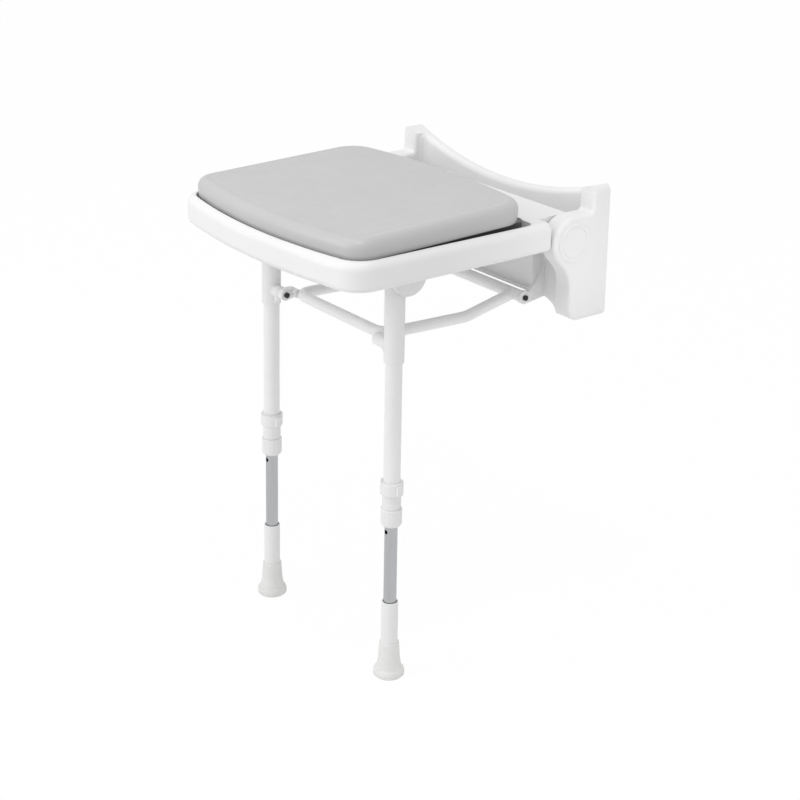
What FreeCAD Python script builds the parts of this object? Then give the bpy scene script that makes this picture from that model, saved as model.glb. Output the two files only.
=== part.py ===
import FreeCAD, Part
import math
import os

import Sketcher
from FreeCAD import Placement, Rotation, Vector

# Fold down wall seat, in millimetres.
# +Z is up, the wall is the plane y = 0 and the seat stands out towards -Y.
# The origin is on the wall plane at the middle of the wall bracket.

doc = FreeCAD.newDocument("fold_down_wall_seat")

# Driving dimensions
SIZES = [
    ("bracket_width", 400, "wall bracket across both ears"),
    ("bracket_rise", 68, "ear top above the hinge axis"),
    ("bracket_drop", 110, "ear bottom below the hinge axis"),
    ("plate_thickness", 12, "back plate"),
    ("plate_dip", 36, "middle of the top edge below the ear tops"),
    ("plate_drop", 100, "bottom edge of the plate below the hinge axis"),
    ("plate_top_round", 8, "front of the hollow top edge"),
    ("bracket_corner", 8, "outline corners of the bracket"),
    ("ear_width", 28, "one ear along X"),
    ("ear_top_depth", 27, "ear depth at its top"),
    ("ear_slope", 1.5, "extra ear depth where the upper face meets the shelf"),
    ("shelf_corner", 5, "round between the upper face and the boss"),
    ("boss_radius", 34, "hinge boss of the ear"),
    ("ear_lower_depth", 63, "ear depth below the boss"),
    ("ear_lower_start", 60, "start of the lower face below the hinge axis"),
    ("ear_inner_round", 5, "inner front edge of an ear"),
    ("ear_outer_round", 5, "outer front edge of an ear"),
    ("ear_toe_radius", 20, "round at the bottom of the ear"),
    ("moulding_edge", 3, "softened edges of the mouldings"),
    ("moulding_wall", 4, "wall of the hollow mouldings"),
    ("plate_cove", "=ear_top_depth - plate_thickness - ear_inner_round", "round between the plate and an ear"),
    ("cove_top", 40, "top of the lower cove below the hinge axis"),
    ("cove_root_depth", 34, "cove depth beside the gusset"),
    ("hinge_out", 60, "hinge axis from the wall"),
    ("hinge_pin_radius", 6, "hinge pin"),
    ("hinge_pin_length", 46, "hinge pin"),
    ("cap_radius", 26, "round cap over the hinge"),
    ("cap_thickness", 4, "cap body"),
    ("cap_proud", 1.4, "cap standing out of the ear"),
    ("cap_groove_radius", 20, "ring groove in the cap"),
    ("cap_groove_width", 1.2, "ring groove in the cap"),
    ("fixing_hole_radius", 3.5, "wall screw hole"),
    ("upper_fixing_spread", 372, "between the two upper wall screws"),
    ("upper_fixing_rise", 49, "upper wall screws above the hinge axis"),
    ("middle_fixing_spread", 140, "between the two middle wall screws"),
    ("middle_fixing_drop", 16, "middle wall screws below the hinge axis"),
    ("cover_radius", 8, "screw cover"),
    ("cover_thickness", 3, "screw cover"),
    ("cover_proud", 1.2, "screw cover standing out of the ear"),
    ("gusset_outer", 119, "outer face of a gusset from the middle"),
    ("gusset_thickness", 6, "gusset"),
    ("gusset_nose_radius", 9, "round nose of a gusset"),
    ("gusset_top", 52, "gusset root below the hinge axis"),
    ("web_depth", 52, "front of the middle web from the wall"),
    ("web_top", 42, "top of the middle web below the hinge axis"),
    ("web_bottom", 91, "underside of the middle web below the hinge axis"),
    ("lip_depth", 56, "front of the lip under the web"),
    ("seat_side_step", 3.5, "rim inside the bracket, each side"),
    ("seat_width", "=bracket_width - 2 * seat_side_step", "rim outside"),
    ("seat_reach", 426, "front of the rim from the wall"),
    ("seat_front_bow", 22, "bow of the front edge"),
    ("seat_corner", 38, "front corners of the rim"),
    ("rim_above", 31, "deck above the hinge axis"),
    ("rim_below", 7, "rim bottom below the hinge axis"),
    ("rim_top_round", 11, "upper outer edge of the rim"),
    ("rim_wall", 5.5, "side wall of the hollow rim"),
    ("rim_bottom_round", 7, "lower outer edge of the rim"),
    ("arm_gap", 35.5, "hinge axis to the rear end of the rim"),
    ("arm_end_round", 4, "upper rear edge of each arm"),
    ("deck_behind", 12, "deck behind the hinge axis"),
    ("deck_lip", 12, "turned down rear edge of the deck"),
    ("side_clearance", 1, "seat to ear, each side"),
    ("recess_depth", 12, "recess for the pad"),
    ("recess_gap", 3, "around the pad"),
    ("rib_thickness", 3, "ribs under the seat"),
    ("rib_height", 12, "ribs under the seat"),
    ("knuckle_radius", 17, "hinge knuckle"),
    ("knuckle_width", 18, "hinge knuckle"),
    ("bush_wall", 2, "plain bushes"),
    ("bush_flange", 1.2, "plain bushes"),
    ("running_gap", 0.05, "radial clearance of a turning fit"),
    ("free_gap", 0.3, "between faces that slide past each other"),
    ("pad_side_margin", 12.5, "rim outside to pad side"),
    ("pad_width", "=seat_width - 2 * pad_side_margin", "seat pad"),
    ("pad_front_gap", 11, "rim front to pad front"),
    ("pad_rear", 109, "middle of the rear edge of the pad from the wall"),
    ("pad_front_bow", 22, "bow of the pad front"),
    ("pad_corner", 31, "front corners of the pad"),
    ("pad_rear_bow", 18, "bow of the pad rear"),
    ("pad_rear_corner", 42, "rear corners of the pad"),
    ("pad_above", 55, "front of the pad top above the hinge axis"),
    ("pad_low", 27, "front of the pad side above the hinge axis"),
    ("pad_tilt", 1.6, "degrees that the pad leans forward"),
    ("pad_undercut", 1.5, "side of the pad drawn in at its lower edge"),
    ("pad_foot_inset", 6, "foot of the pad in the recess, inside its sides"),
    ("pad_foot_height", 20, "foot of the pad up into its body"),
    ("recess_rear", 121, "rear edge of the recess from the wall"),
    ("recess_rear_corner", 8, "rear corners of the recess"),
    ("pad_edge", 12, "rounded upper edge of the pad"),
    ("pad_base_thickness", 4, "stiff base of the pad"),
    ("pad_base_inset", 12, "base inside the pad outline"),
    ("stud_radius", 3.8, "push studs of the pad"),
    ("stud_head", 1, "barb of a push stud"),
    ("stud_spread", 210, "push studs across"),
    ("stud_rear", 165, "rear push studs from the wall"),
    ("stud_pitch", 175, "push studs front to back"),
    ("link_reach", 232, "leg pivot ahead of the hinge axis, and the same on the brace"),
    ("link_fall", 13, "leg pivot below the hinge axis, and the same on the brace"),
    ("link_ahead", 8.5, "brace pivot ahead of the hinge axis"),
    ("link_drop", 96, "brace pivot below the hinge axis"),
    ("leg_spread", 274, "between the leg axes"),
    ("floor_drop", 566.5, "hinge axis above the floor"),
    ("cheek_radius", 26, "cheek of a leg bracket"),
    ("cheek_thickness", 5, "cheek of a leg bracket"),
    ("head_width", 28.4, "leg head between the cheeks"),
    ("neck_share", 0.75, "half width of the head neck, of the head radius"),
    ("neck_rear_share", 0.6, "foot of the head neck behind the leg, of the head radius"),
    ("head_radius", 13, "leg head"),
    ("head_barrel_radius", 13, "pivot barrel of the leg head"),
    ("head_foot", 20, "leg head below the brace pivot"),
    ("head_drop", 10, "top of the leg head sleeve below the leg pivot"),
    ("leg_pin_radius", 4, "leg pivot pin"),
    ("bracket_base_length", 52, "base of a leg bracket"),
    ("bracket_base_thickness", 4, "base of a leg bracket"),
    ("bracket_flange", 9, "base of a leg bracket beyond a cheek"),
    ("small_screw_radius", 2, "screws into the seat"),
    ("small_screw_head", 3.6, "screws into the seat"),
    ("arm_radius", 8.3, "brace arm of the leg head"),
    ("arm_end", 112, "end of the brace arm from the middle"),
    ("lug_radius", 8, "brace lug"),
    ("lug_thickness", 10.6, "brace lug"),
    ("link_screw_radius", 2.5, "pivot screws of the brace"),
    ("link_head_radius", 3.7, "heads of the pivot screws"),
    ("link_head_height", 3, "heads of the pivot screws"),
    ("link_screw_depth", 10, "thread in the brace arm"),
    ("brace_tube_radius", 7.5, "brace tubes"),
    ("brace_tube_wall", 1.5, "brace tubes"),
    ("brace_spread", 190, "between the strut axes"),
    ("rear_tube_radius", 8, "rear tube of the brace"),
    ("crank_forward", 81, "strut bend ahead of the rear tube"),
    ("crank_drop", 17, "strut bend below the rear tube"),
    ("crank_radius", 60, "bend of a strut"),
    ("front_tube_back", 14, "front tube behind the brace lug"),
    ("front_tube_drop", -1, "front tube below the brace lug"),
    ("corner_bend", 22, "corner of the brace"),
    ("leg_tube_radius", 11, "leg tube and foot sleeve"),
    ("leg_tube_wall", 1.5, "leg tube"),
    ("foot_tube_radius", 8.5, "sliding inner tube"),
    ("foot_tube_wall", 1.5, "sliding inner tube"),
    ("foot_tube_top", 400, "top of the inner tube above the floor"),
    ("gland_top", 275, "gland ring above the floor"),
    ("gland_ring_height", 17, "gland ring"),
    ("gland_ring_radius", 15, "gland ring"),
    ("gland_wing_span", 36, "gland ring across its wings"),
    ("gland_wing_width", 8, "wing of the gland ring"),
    ("gland_neck_height", 19, "neck under the gland ring"),
    ("gland_socket", 30, "leg tube in the gland"),
    ("nut_height", 24, "gland nut"),
    ("nut_radius", 13.75, "gland nut"),
    ("nut_chamfer", 3, "lower edge of the gland nut"),
    ("nut_floor", 4, "bottom wall of the gland nut"),
    ("nut_flutes", 12, "grip flutes around the nut"),
    ("flute_radius", 1.6, "grip flute"),
    ("spigot_height", 13, "gland spigot in the nut"),
    ("collet_height", 6, "collet in the nut"),
    ("collet_slit", 1.5, "slit of the collet"),
    ("hole_radius", 3, "adjusting holes of the inner tube"),
    ("hole_pitch", 25, "adjusting holes of the inner tube"),
    ("hole_count", 5, "adjusting holes of the inner tube"),
    ("lowest_hole", 206, "lowest adjusting hole above the floor"),
    ("sleeve_top", 106, "foot sleeve above the floor"),
    ("sleeve_mouth", 2.5, "wider mouth of the foot sleeve"),
    ("ferrule_height", 47.5, "rubber ferrule"),
    ("ferrule_top_radius", 13, "rubber ferrule"),
    ("ferrule_waist_height", 10.5, "top of the ferrule flange"),
    ("ferrule_waist_radius", 16.5, "foot of the ferrule cone"),
    ("ferrule_foot_radius", 20.5, "rubber ferrule"),
    ("ferrule_floor", 6, "rubber under the tube"),
]

sheet = doc.addObject("Spreadsheet::Sheet", "Sizes")
for row, (alias, value, note) in enumerate(SIZES, start=1):
    sheet.set(f"A{row}", alias)
    sheet.set(f"B{row}", str(value))
    sheet.set(f"C{row}", note)
    sheet.setAlias(f"B{row}", alias)
doc.recompute()

# Every finished piece, by the name of its node
pieces = {}


def size(alias):
    """Value of one driving dimension."""
    return float(getattr(sheet, alias))


def bound(formula):
    """Expression over the sheet: {alias} stands for that cell."""
    return formula.replace("{", "Sizes.").replace("}", "")


def evaluate(formula):
    """Number that a formula over the sheet stands for."""
    return float(sheet.evalExpression(bound(formula)))


# Places that several pieces share, as expressions
HINGE_Z = "(({bracket_drop}-{bracket_rise})/2)"
HINGE_Y = "(-{hinge_out})"
LEG_PIVOT_Y = "(-{hinge_out}-{link_reach})"
LEG_Y = "(-{hinge_out}-{link_reach}-{link_ahead})"
LEG_PIVOT_Z = f"({HINGE_Z}-{{link_fall}})"
BRACE_Y = "(-{hinge_out}-{link_ahead})"
BRACE_Z = f"({HINGE_Z}-{{link_drop}})"
LINK_Z = f"({BRACE_Z}-{{link_fall}})"
FLOOR_Z = f"({HINGE_Z}-{{floor_drop}})"
EAR_INNER = "({bracket_width}/2-{ear_width})"
KNUCKLE_OUTER = f"({EAR_INNER}-{{side_clearance}}-{{bush_flange}})"
PAN_TOP = f"({HINGE_Z}+{{rim_above}}-{{recess_depth}})"
PAN_BOTTOM = f"({PAN_TOP}-{{moulding_wall}})"

# The same places as numbers
hinge_z = (size("bracket_drop") - size("bracket_rise")) / 2
hinge_y = -size("hinge_out")
leg_pivot_y = hinge_y - size("link_reach")
leg_pivot_z = hinge_z - size("link_fall")
leg_y = leg_pivot_y - size("link_ahead")
brace_y = hinge_y - size("link_ahead")
brace_z = hinge_z - size("link_drop")
link_z = brace_z - size("link_fall")
floor_z = hinge_z - size("floor_drop")
half_width = size("bracket_width") / 2
ear_inner = half_width - size("ear_width")
leg_x = size("leg_spread") / 2
wall = size("moulding_wall")
near = 0.01

# Middle of a quarter circle, as a share of its radius in from the corner
CORNER_SHARE = 1 - math.cos(math.radians(45))

AXIS_TURNS = {
    "x": Rotation(Vector(0, 1, 0), 90),
    "y": Rotation(Vector(1, 0, 0), -90),
    "z": Rotation(),
}


def place(obj, x, y, z, axis="z"):
    """Bind an object's place to the sheet, with its own Z along the named axis."""
    obj.Placement = Placement(Vector(), AXIS_TURNS[axis])
    for letter, formula in zip("xyz", (x, y, z)):
        obj.setExpression(f"Placement.Base.{letter}", bound(formula))
    return obj


def cylinder(name, radius, length, x, y, z, axis="z"):
    """Cylinder that starts at the given place and runs along the named axis."""
    obj = doc.addObject("Part::Cylinder", name)
    obj.setExpression("Radius", bound(radius))
    obj.setExpression("Height", bound(length))
    return place(obj, x, y, z, axis)


def box(name, length, width, height, x, y, z):
    """Box from its lowest corner."""
    obj = doc.addObject("Part::Box", name)
    for key, formula in (("Length", length), ("Width", width), ("Height", height)):
        obj.setExpression(key, bound(formula))
    return place(obj, x, y, z)


def cut(name, base, tool):
    obj = doc.addObject("Part::Cut", name)
    obj.Base = base
    obj.Tool = tool
    return obj


def fuse(name, shapes):
    obj = doc.addObject("Part::MultiFuse", name)
    obj.Shapes = shapes
    return obj


def group(name, shapes):
    """Several alike solids kept as one piece."""
    obj = doc.addObject("Part::Compound", name)
    obj.Links = shapes
    return obj


def tube(name, radius, bore, length, x, y, z, axis="z"):
    """Round tube with the two radii given."""
    outer = cylinder(name + "_outer", radius, length, x, y, z, axis)
    inner = cylinder(name + "_bore", bore, length, x, y, z, axis)
    return cut(name, outer, inner)


def piece(name, obj):
    """Register a finished piece under its node name."""
    obj.Label = name
    pieces[name] = obj
    return obj


def moulded(name, shape):
    """Piece whose solid is worked out from the sheet by code."""
    obj = doc.addObject("Part::Feature", name)
    obj.Shape = shape
    obj.Placement = Placement()
    return piece(name, obj)


def turned(name, profile, x, y, z, axis="z"):
    """Body turned about its own Z from (radius, height) points bound to the sheet."""
    body = doc.addObject("PartDesign::Body", name)
    plane = [item for item in body.Origin.OriginFeatures if item.Role == "XZ_Plane"][0]
    sketch = body.newObject("Sketcher::SketchObject", name + "_profile")
    sketch.AttachmentSupport = [(plane, "")]
    sketch.MapMode = "FlatFace"
    values = [[evaluate(formula) for formula in point] for point in profile]
    count = len(profile)
    for number, start in enumerate(values):
        end = values[(number + 1) % count]
        line = Part.LineSegment(Vector(start[0], start[1], 0), Vector(end[0], end[1], 0))
        sketch.addGeometry(line, False)
    for number in range(count):
        constraint = Sketcher.Constraint("Coincident", number, 2, (number + 1) % count, 1)
        sketch.addConstraint(constraint)
    for number, (radius, height) in enumerate(profile):
        for kind, formula, value in (
            ("DistanceX", radius, values[number][0]),
            ("DistanceY", height, values[number][1]),
        ):
            index = sketch.addConstraint(Sketcher.Constraint(kind, -1, 1, number, 1, value))
            sketch.setExpression(f"Constraints[{index}]", bound(formula))
    turn = body.newObject("PartDesign::Revolution", name + "_turn")
    turn.Profile = sketch
    turn.ReferenceAxis = (sketch, ["V_Axis"])
    turn.Angle = 360
    return place(body, x, y, z, axis)


def at(x, y, z):
    return Vector(x, y, z)


def prism(points, direction):
    """Solid swept along a direction from a closed run of points and arc middles.

    An entry ("arc", middle, end) is a round stretch from the last point."""
    edges = []
    last = points[0]
    for item in points[1:]:
        if isinstance(item, tuple):
            edges.append(Part.Arc(last, item[1], item[2]).toShape())
            last = item[2]
        else:
            edges.append(Part.LineSegment(last, item).toShape())
            last = item
    if (last - points[0]).Length > 1e-6:
        edges.append(Part.LineSegment(last, points[0]).toShape())
    return Part.Face(Part.Wire(edges)).extrude(direction)


def block(low, high):
    """Box between two corners."""
    span = high - low
    return Part.makeBox(span.x, span.y, span.z, low)


def disc(radius, length, start, direction):
    return Part.makeCylinder(radius, length, start, direction)


def mirrored(shape):
    return shape.mirror(Vector(), Vector(1, 0, 0))


X_AXIS = Vector(1, 0, 0)
Y_AXIS = Vector(0, 1, 0)
Z_AXIS = Vector(0, 0, 1)


# Wall bracket

def ear_profile(x):
    """Side view of an ear at the given X, from the wall round the boss to the toe."""
    top = hinge_z + size("bracket_rise")
    bottom = hinge_z - size("bracket_drop")
    boss = size("boss_radius")
    round_in = size("shelf_corner")
    toe = size("ear_toe_radius")
    top_y = -size("ear_top_depth")
    shelf_y = top_y - size("ear_slope")
    shelf_z = hinge_z + boss
    lower_y = -size("ear_lower_depth")
    lower_z = hinge_z - size("ear_lower_start")
    leave = math.radians(50)
    boss_end = at(x, hinge_y - boss * math.cos(leave), hinge_z - boss * math.sin(leave))
    blend_mid = at(x, (boss_end.y + 2 * lower_y) / 3, (boss_end.z + lower_z) / 2)
    cos45 = math.cos(math.radians(45))
    return [
        at(x, 0, bottom),
        at(x, 0, top),
        at(x, top_y, top),
        at(x, shelf_y, shelf_z + round_in),
        (
            "arc",
            at(x, shelf_y - round_in * (1 - cos45), shelf_z + round_in * (1 - cos45)),
            at(x, shelf_y - round_in, shelf_z),
        ),
        at(x, hinge_y, shelf_z),
        ("arc", at(x, hinge_y - boss, hinge_z), boss_end),
        ("arc", blend_mid, at(x, lower_y, lower_z)),
        at(x, lower_y, bottom + toe),
        (
            "arc",
            at(x, lower_y + toe * (1 - cos45), bottom + toe * (1 - cos45)),
            at(x, lower_y + toe, bottom),
        ),
    ]


def bracket_outline():
    """Front view of the bracket with its hollow top edge, as a deep prism."""
    top = hinge_z + size("bracket_rise")
    bottom = hinge_z - size("bracket_drop")
    middle = hinge_z - size("plate_drop")
    corner = size("bracket_corner")
    shift = corner * (1 - math.cos(math.radians(45)))
    root = size("gusset_outer")
    points = [
        at(root, 0, middle),
        at(ear_inner, 0, bottom),
        at(half_width - corner, 0, bottom),
        ("arc", at(half_width - shift, 0, bottom + shift), at(half_width, 0, bottom + corner)),
        at(half_width, 0, top - corner),
        ("arc", at(half_width - shift, 0, top - shift), at(half_width - corner, 0, top)),
        ("arc", at(0, 0, top - size("plate_dip")), at(corner - half_width, 0, top)),
        ("arc", at(shift - half_width, 0, top - shift), at(-half_width, 0, top - corner)),
        at(-half_width, 0, bottom + corner),
        (
            "arc",
            at(shift - half_width, 0, bottom + shift),
            at(corner - half_width, 0, bottom),
        ),
        at(-ear_inner, 0, bottom),
        at(-root, 0, middle),
    ]
    depth = size("hinge_out") + size("boss_radius") + size("link_drop")
    return prism(points, Vector(0, -depth, 0))


def ear(side):
    """One ear with its soft front edges; the inner one stops under the boss."""
    solid = prism(ear_profile(ear_inner), X_AXIS * size("ear_width"))
    boss_foot = hinge_z - size("boss_radius")
    outer = []
    inner = []
    for edge in solid.Edges:
        if min(vertex.Y for vertex in edge.Vertexes) > -near:
            continue
        if min(vertex.X for vertex in edge.Vertexes) > half_width - near:
            outer.append(edge)
        if (
            max(vertex.X for vertex in edge.Vertexes) < ear_inner + near
            and min(vertex.Z for vertex in edge.Vertexes) > boss_foot
            and max(vertex.Y for vertex in edge.Vertexes) < -near
        ):
            inner.append(edge)
    solid = solid.makeFillet(size("ear_outer_round"), outer)
    solid = solid.makeFillet(size("ear_inner_round"), inner)
    return solid if side > 0 else mirrored(solid)


def lower_cove():
    """Hollow curved wall between a gusset and an ear, seen from above."""
    root = size("gusset_outer")
    lower = -size("ear_lower_depth")
    inner = -size("cove_root_depth")
    bottom = hinge_z - size("bracket_drop")
    top = hinge_z - size("cove_top")
    middle = at((root + ear_inner) / 2, inner - 0.22 * (inner - lower), bottom)
    points = [
        at(root - size("gusset_thickness"), 0, bottom),
        at(ear_inner + 1, 0, bottom),
        at(ear_inner + 1, lower, bottom),
        at(ear_inner, lower, bottom),
        ("arc", middle, at(root, inner, bottom)),
        at(root - size("gusset_thickness"), inner, bottom),
    ]
    slab = prism(ear_profile(points[0].x), X_AXIS * (ear_inner + 1 - points[0].x))
    return prism(points, Z_AXIS * (top - bottom)).common(slab)


def gusset():
    """Triangular cheek that carries the brace pivot."""
    x = size("gusset_outer") - size("gusset_thickness")
    nose = size("gusset_nose_radius")
    root_y = -size("cove_root_depth")
    root_top = hinge_z - size("gusset_top")
    bottom = hinge_z - size("plate_drop")
    top_angle = math.radians(50)
    nose_top = at(x, brace_y + nose * math.cos(top_angle), brace_z + nose * math.sin(top_angle))
    middle = at(x, (nose_top.y + root_y) / 2 + 3, (nose_top.z + root_top) / 2 - 4)
    points = [
        at(x, 0, bottom),
        at(x, 0, root_top),
        at(x, root_y, root_top),
        ("arc", middle, nose_top),
        ("arc", at(x, brace_y - nose, brace_z), at(x, brace_y, brace_z - nose)),
        at(x, root_y, bottom),
    ]
    return prism(points, X_AXIS * size("gusset_thickness"))


def soften_top(solid):
    """Rounds the front of the hollow top edge, along the plate and round both coves."""
    shelf = hinge_z + size("boss_radius") + size("shelf_corner")
    front = -size("plate_thickness")
    edges = [
        edge for edge in solid.Edges
        if min(vertex.Z for vertex in edge.Vertexes) > shelf + near
        and abs(max(vertex.Y for vertex in edge.Vertexes) - front) < near
        and max(abs(vertex.X) for vertex in edge.Vertexes) < ear_inner + near
    ]
    return solid.makeFillet(size("plate_top_round"), edges)


def wall_bracket():
    """Back plate, two ears, coves, gussets and the middle web in one moulding."""
    thick = size("plate_thickness")
    bottom = hinge_z - size("bracket_drop")
    top = hinge_z + size("bracket_rise")
    solid = block(at(-half_width, -thick, bottom), at(half_width, 0, top))
    cove = size("plate_cove")
    corner = prism(
        [
            at(ear_inner - cove, -thick, bottom),
            at(half_width, -thick, bottom),
            at(half_width, -thick - cove, bottom),
            at(ear_inner, -thick - cove, bottom),
            (
                "arc",
                at(ear_inner - cove * CORNER_SHARE, -thick - cove * CORNER_SHARE, bottom),
                at(ear_inner - cove, -thick, bottom),
            ),
        ],
        Z_AXIS * (top - bottom),
    )
    inner_x = size("gusset_outer") - size("gusset_thickness") + 1
    web_y = -size("web_depth")
    web_top = hinge_z - size("web_top")
    web_bottom = hinge_z - size("web_bottom")
    web = block(at(-inner_x, web_y, web_bottom), at(inner_x, 0, web_top))
    lip = block(at(-inner_x, -size("lip_depth"), web_bottom), at(inner_x, 0, web_bottom + wall))
    outline = bracket_outline()
    solid = solid.multiFuse([corner, mirrored(corner)]).common(outline)
    solid = soften_top(solid.removeSplitter())
    parts = [web, lip]
    for shape in (ear(1), lower_cove()):
        parts += [shape.common(outline), mirrored(shape).common(outline)]
    solid = solid.multiFuse(parts + [gusset(), mirrored(gusset())])
    tools = [block(
        at(wall - inner_x, web_y + wall, web_bottom + wall),
        at(inner_x - wall, 0, web_top - wall),
    )]
    back = -size("ear_lower_depth") + 2 * wall
    tools.append(block(
        at(ear_inner + wall, back, bottom + size("ear_toe_radius")),
        at(half_width - wall, 0, hinge_z - size("ear_lower_start") + 2 * wall),
    ))
    tools.append(block(
        at(size("gusset_outer") + wall, 3 * wall - size("cove_root_depth"), bottom + size("ear_toe_radius")),
        at(ear_inner - wall, 0, hinge_z - size("cove_top") - wall),
    ))
    pin_start = half_width - size("cap_thickness") + size("cap_proud") - size("hinge_pin_length")
    tools.append(disc(size("hinge_pin_radius"), half_width, at(pin_start, hinge_y, hinge_z), X_AXIS))
    cap_seat = half_width - size("cap_thickness") + size("cap_proud")
    tools.append(disc(size("cap_radius"), half_width, at(cap_seat, hinge_y, hinge_z), X_AXIS))
    tools.append(disc(
        size("link_screw_radius"),
        size("gusset_thickness") + 2,
        at(size("gusset_outer") - size("gusset_thickness") - 1, brace_y, brace_z),
        X_AXIS,
    ))
    upper = at(size("upper_fixing_spread") / 2, 0, hinge_z + size("upper_fixing_rise"))
    middle = at(size("middle_fixing_spread") / 2, 0, hinge_z - size("middle_fixing_drop"))
    hole = size("fixing_hole_radius")
    for spot in (upper, middle):
        tools.append(disc(hole, size("hinge_out"), spot, -Y_AXIS))
    cover_seat = cover_front() + size("cover_thickness")
    tools.append(disc(size("cover_radius"), size("hinge_out"), at(upper.x, cover_seat, upper.z), -Y_AXIS))
    both = [shape for tool in tools for shape in (tool, mirrored(tool))]
    return solid.cut(both).removeSplitter()


def cover_front():
    """Front face of a screw cover."""
    return -size("ear_top_depth") - size("cover_proud")


moulded("wall_bracket", wall_bracket())

CAP_SEAT = "({bracket_width}/2-{cap_thickness}+{cap_proud})"
cap_profile = [
    ("0", "0"),
    ("{cap_radius}", "0"),
    ("{cap_radius}", "{cap_thickness}-1"),
    ("{cap_radius}-1", "{cap_thickness}"),
    ("{cap_groove_radius}+{cap_groove_width}", "{cap_thickness}"),
    ("{cap_groove_radius}+{cap_groove_width}/2", "{cap_thickness}-{cap_groove_width}/2"),
    ("{cap_groove_radius}", "{cap_thickness}"),
    ("0", "{cap_thickness}"),
]
covers = []
gusset_screws = []
for side, hand in ((1, "right"), (-1, "left")):
    sign = "" if side > 0 else "-"
    cap = turned(f"hinge_cap_{hand}", cap_profile, f"{sign}{CAP_SEAT}", HINGE_Y, HINGE_Z, "x")
    if side < 0:
        cap.Placement.Rotation = Rotation(Vector(0, 1, 0), -90)
    piece(f"hinge_cap_{hand}", cap)
    pin_start = CAP_SEAT + "-{hinge_pin_length}" if side > 0 else "-" + CAP_SEAT
    pin = cylinder(
        f"hinge_pin_{hand}", "{hinge_pin_radius}", "{hinge_pin_length}",
        pin_start, HINGE_Y, HINGE_Z, "x",
    )
    piece(f"hinge_pin_{hand}", pin)
    covers.append(cylinder(
        f"screw_cover_{hand}", "{cover_radius}", "{cover_thickness}",
        f"{sign}{{upper_fixing_spread}}/2", "-{ear_top_depth}-{cover_proud}",
        HINGE_Z + "+{upper_fixing_rise}", "y",
    ))
    shank_length = "{gusset_thickness}+{link_screw_depth}+{lug_thickness}"
    shank_start = f"{{gusset_outer}}-({shank_length})" if side > 0 else "-{gusset_outer}"
    head_start = "{gusset_outer}" if side > 0 else "-{gusset_outer}-{link_head_height}"
    shank = cylinder(
        f"gusset_screw_shank_{hand}", "{link_screw_radius}", shank_length,
        shank_start, BRACE_Y, BRACE_Z, "x",
    )
    head = cylinder(
        f"gusset_screw_head_{hand}", "{link_head_radius}", "{link_head_height}",
        head_start, BRACE_Y, BRACE_Z, "x",
    )
    gusset_screws.append(fuse(f"gusset_screw_{hand}", [shank, head]))
piece("screw_covers", group("screw_covers", covers))
piece("gusset_screws", group("gusset_screws", gusset_screws))


# Seat moulding and pad

def bowed_end(half, tip, bow, corner, inset, way, z):
    """Arcs at the front (way 1) or the rear (way -1) of an outline, on its right half.

    The tip is the middle of the end and the bow is its sagitta over the full width.
    Returns the tip, the end of its arc, the middle of the corner and where the side starts."""
    bend = (half * half + bow * bow) / (2 * bow)
    centre_y = tip + way * bend
    corner_x = half - corner
    corner_y = centre_y - way * math.sqrt((bend - corner) ** 2 - corner_x ** 2)
    lean = math.atan2(corner_x, way * (centre_y - corner_y))
    middle = (lean + math.pi / 2) / 2
    bend -= inset
    corner -= inset
    return (
        at(0, centre_y - way * bend, z),
        at(bend * math.sin(lean), centre_y - way * bend * math.cos(lean), z),
        at(corner_x + corner * math.sin(middle), corner_y - way * corner * math.cos(middle), z),
        at(half - inset, corner_y, z),
    )


def flipped(point):
    """The same point on the other side of the middle plane."""
    return at(-point.x, point.y, point.z)


def rounded_outline(width, front, bow, corner, rear, rear_bow, rear_corner, z, inset=0):
    """Closed outline with a bowed front, and a rear that is bowed too or straight for bow 0.

    Front and rear are distances from the wall. Every edge moves in by the inset."""
    half = width / 2
    tip, end, turn, side = bowed_end(half, -front, bow, corner, inset, 1, z)
    points = [flipped(end), ("arc", tip, end), ("arc", turn, side)]
    if rear_bow > 0:
        rear_tip, rear_end, rear_turn, rear_side = bowed_end(
            half, -rear, rear_bow, rear_corner, inset, -1, z
        )
        points += [
            rear_side,
            ("arc", rear_turn, rear_end),
            ("arc", rear_tip, flipped(rear_end)),
            ("arc", flipped(rear_turn), flipped(rear_side)),
        ]
    else:
        out = half - inset
        back = -rear - inset
        round_off = max(rear_corner - inset, 0)
        shift = round_off * CORNER_SHARE
        if round_off > 0:
            points += [
                at(out, back - round_off, z),
                ("arc", at(out - shift, back - shift, z), at(out - round_off, back, z)),
                at(round_off - out, back, z),
                ("arc", at(shift - out, back - shift, z), at(-out, back - round_off, z)),
            ]
        else:
            points += [at(out, back, z), at(-out, back, z)]
    return points + [flipped(side), ("arc", flipped(turn), flipped(end))]


def outline_wire(points):
    """Closed wire through the points of an outline."""
    edges = []
    last = points[0]
    for item in points[1:]:
        if isinstance(item, tuple):
            edges.append(Part.Arc(last, item[1], item[2]).toShape())
            last = item[2]
        else:
            edges.append(Part.LineSegment(last, item).toShape())
            last = item
    return Part.Wire(edges)


rim_top = hinge_z + size("rim_above")
rim_bottom = hinge_z - size("rim_below")
arm_end_y = size("hinge_out") + size("arm_gap")
pan_top = rim_top - size("recess_depth")
pan_bottom = pan_top - wall
pad_front = size("seat_reach") - size("pad_front_gap")


def rim_outline(z, inset=0):
    return rounded_outline(
        size("seat_width"), size("seat_reach"), size("seat_front_bow"), size("seat_corner"),
        arm_end_y, 0, 0, z, inset,
    )


def pad_outline(z, inset=0):
    return rounded_outline(
        size("pad_width"), pad_front, size("pad_front_bow"), size("pad_corner"),
        size("pad_rear"), size("pad_rear_bow"), size("pad_rear_corner"), z, inset,
    )


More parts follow.
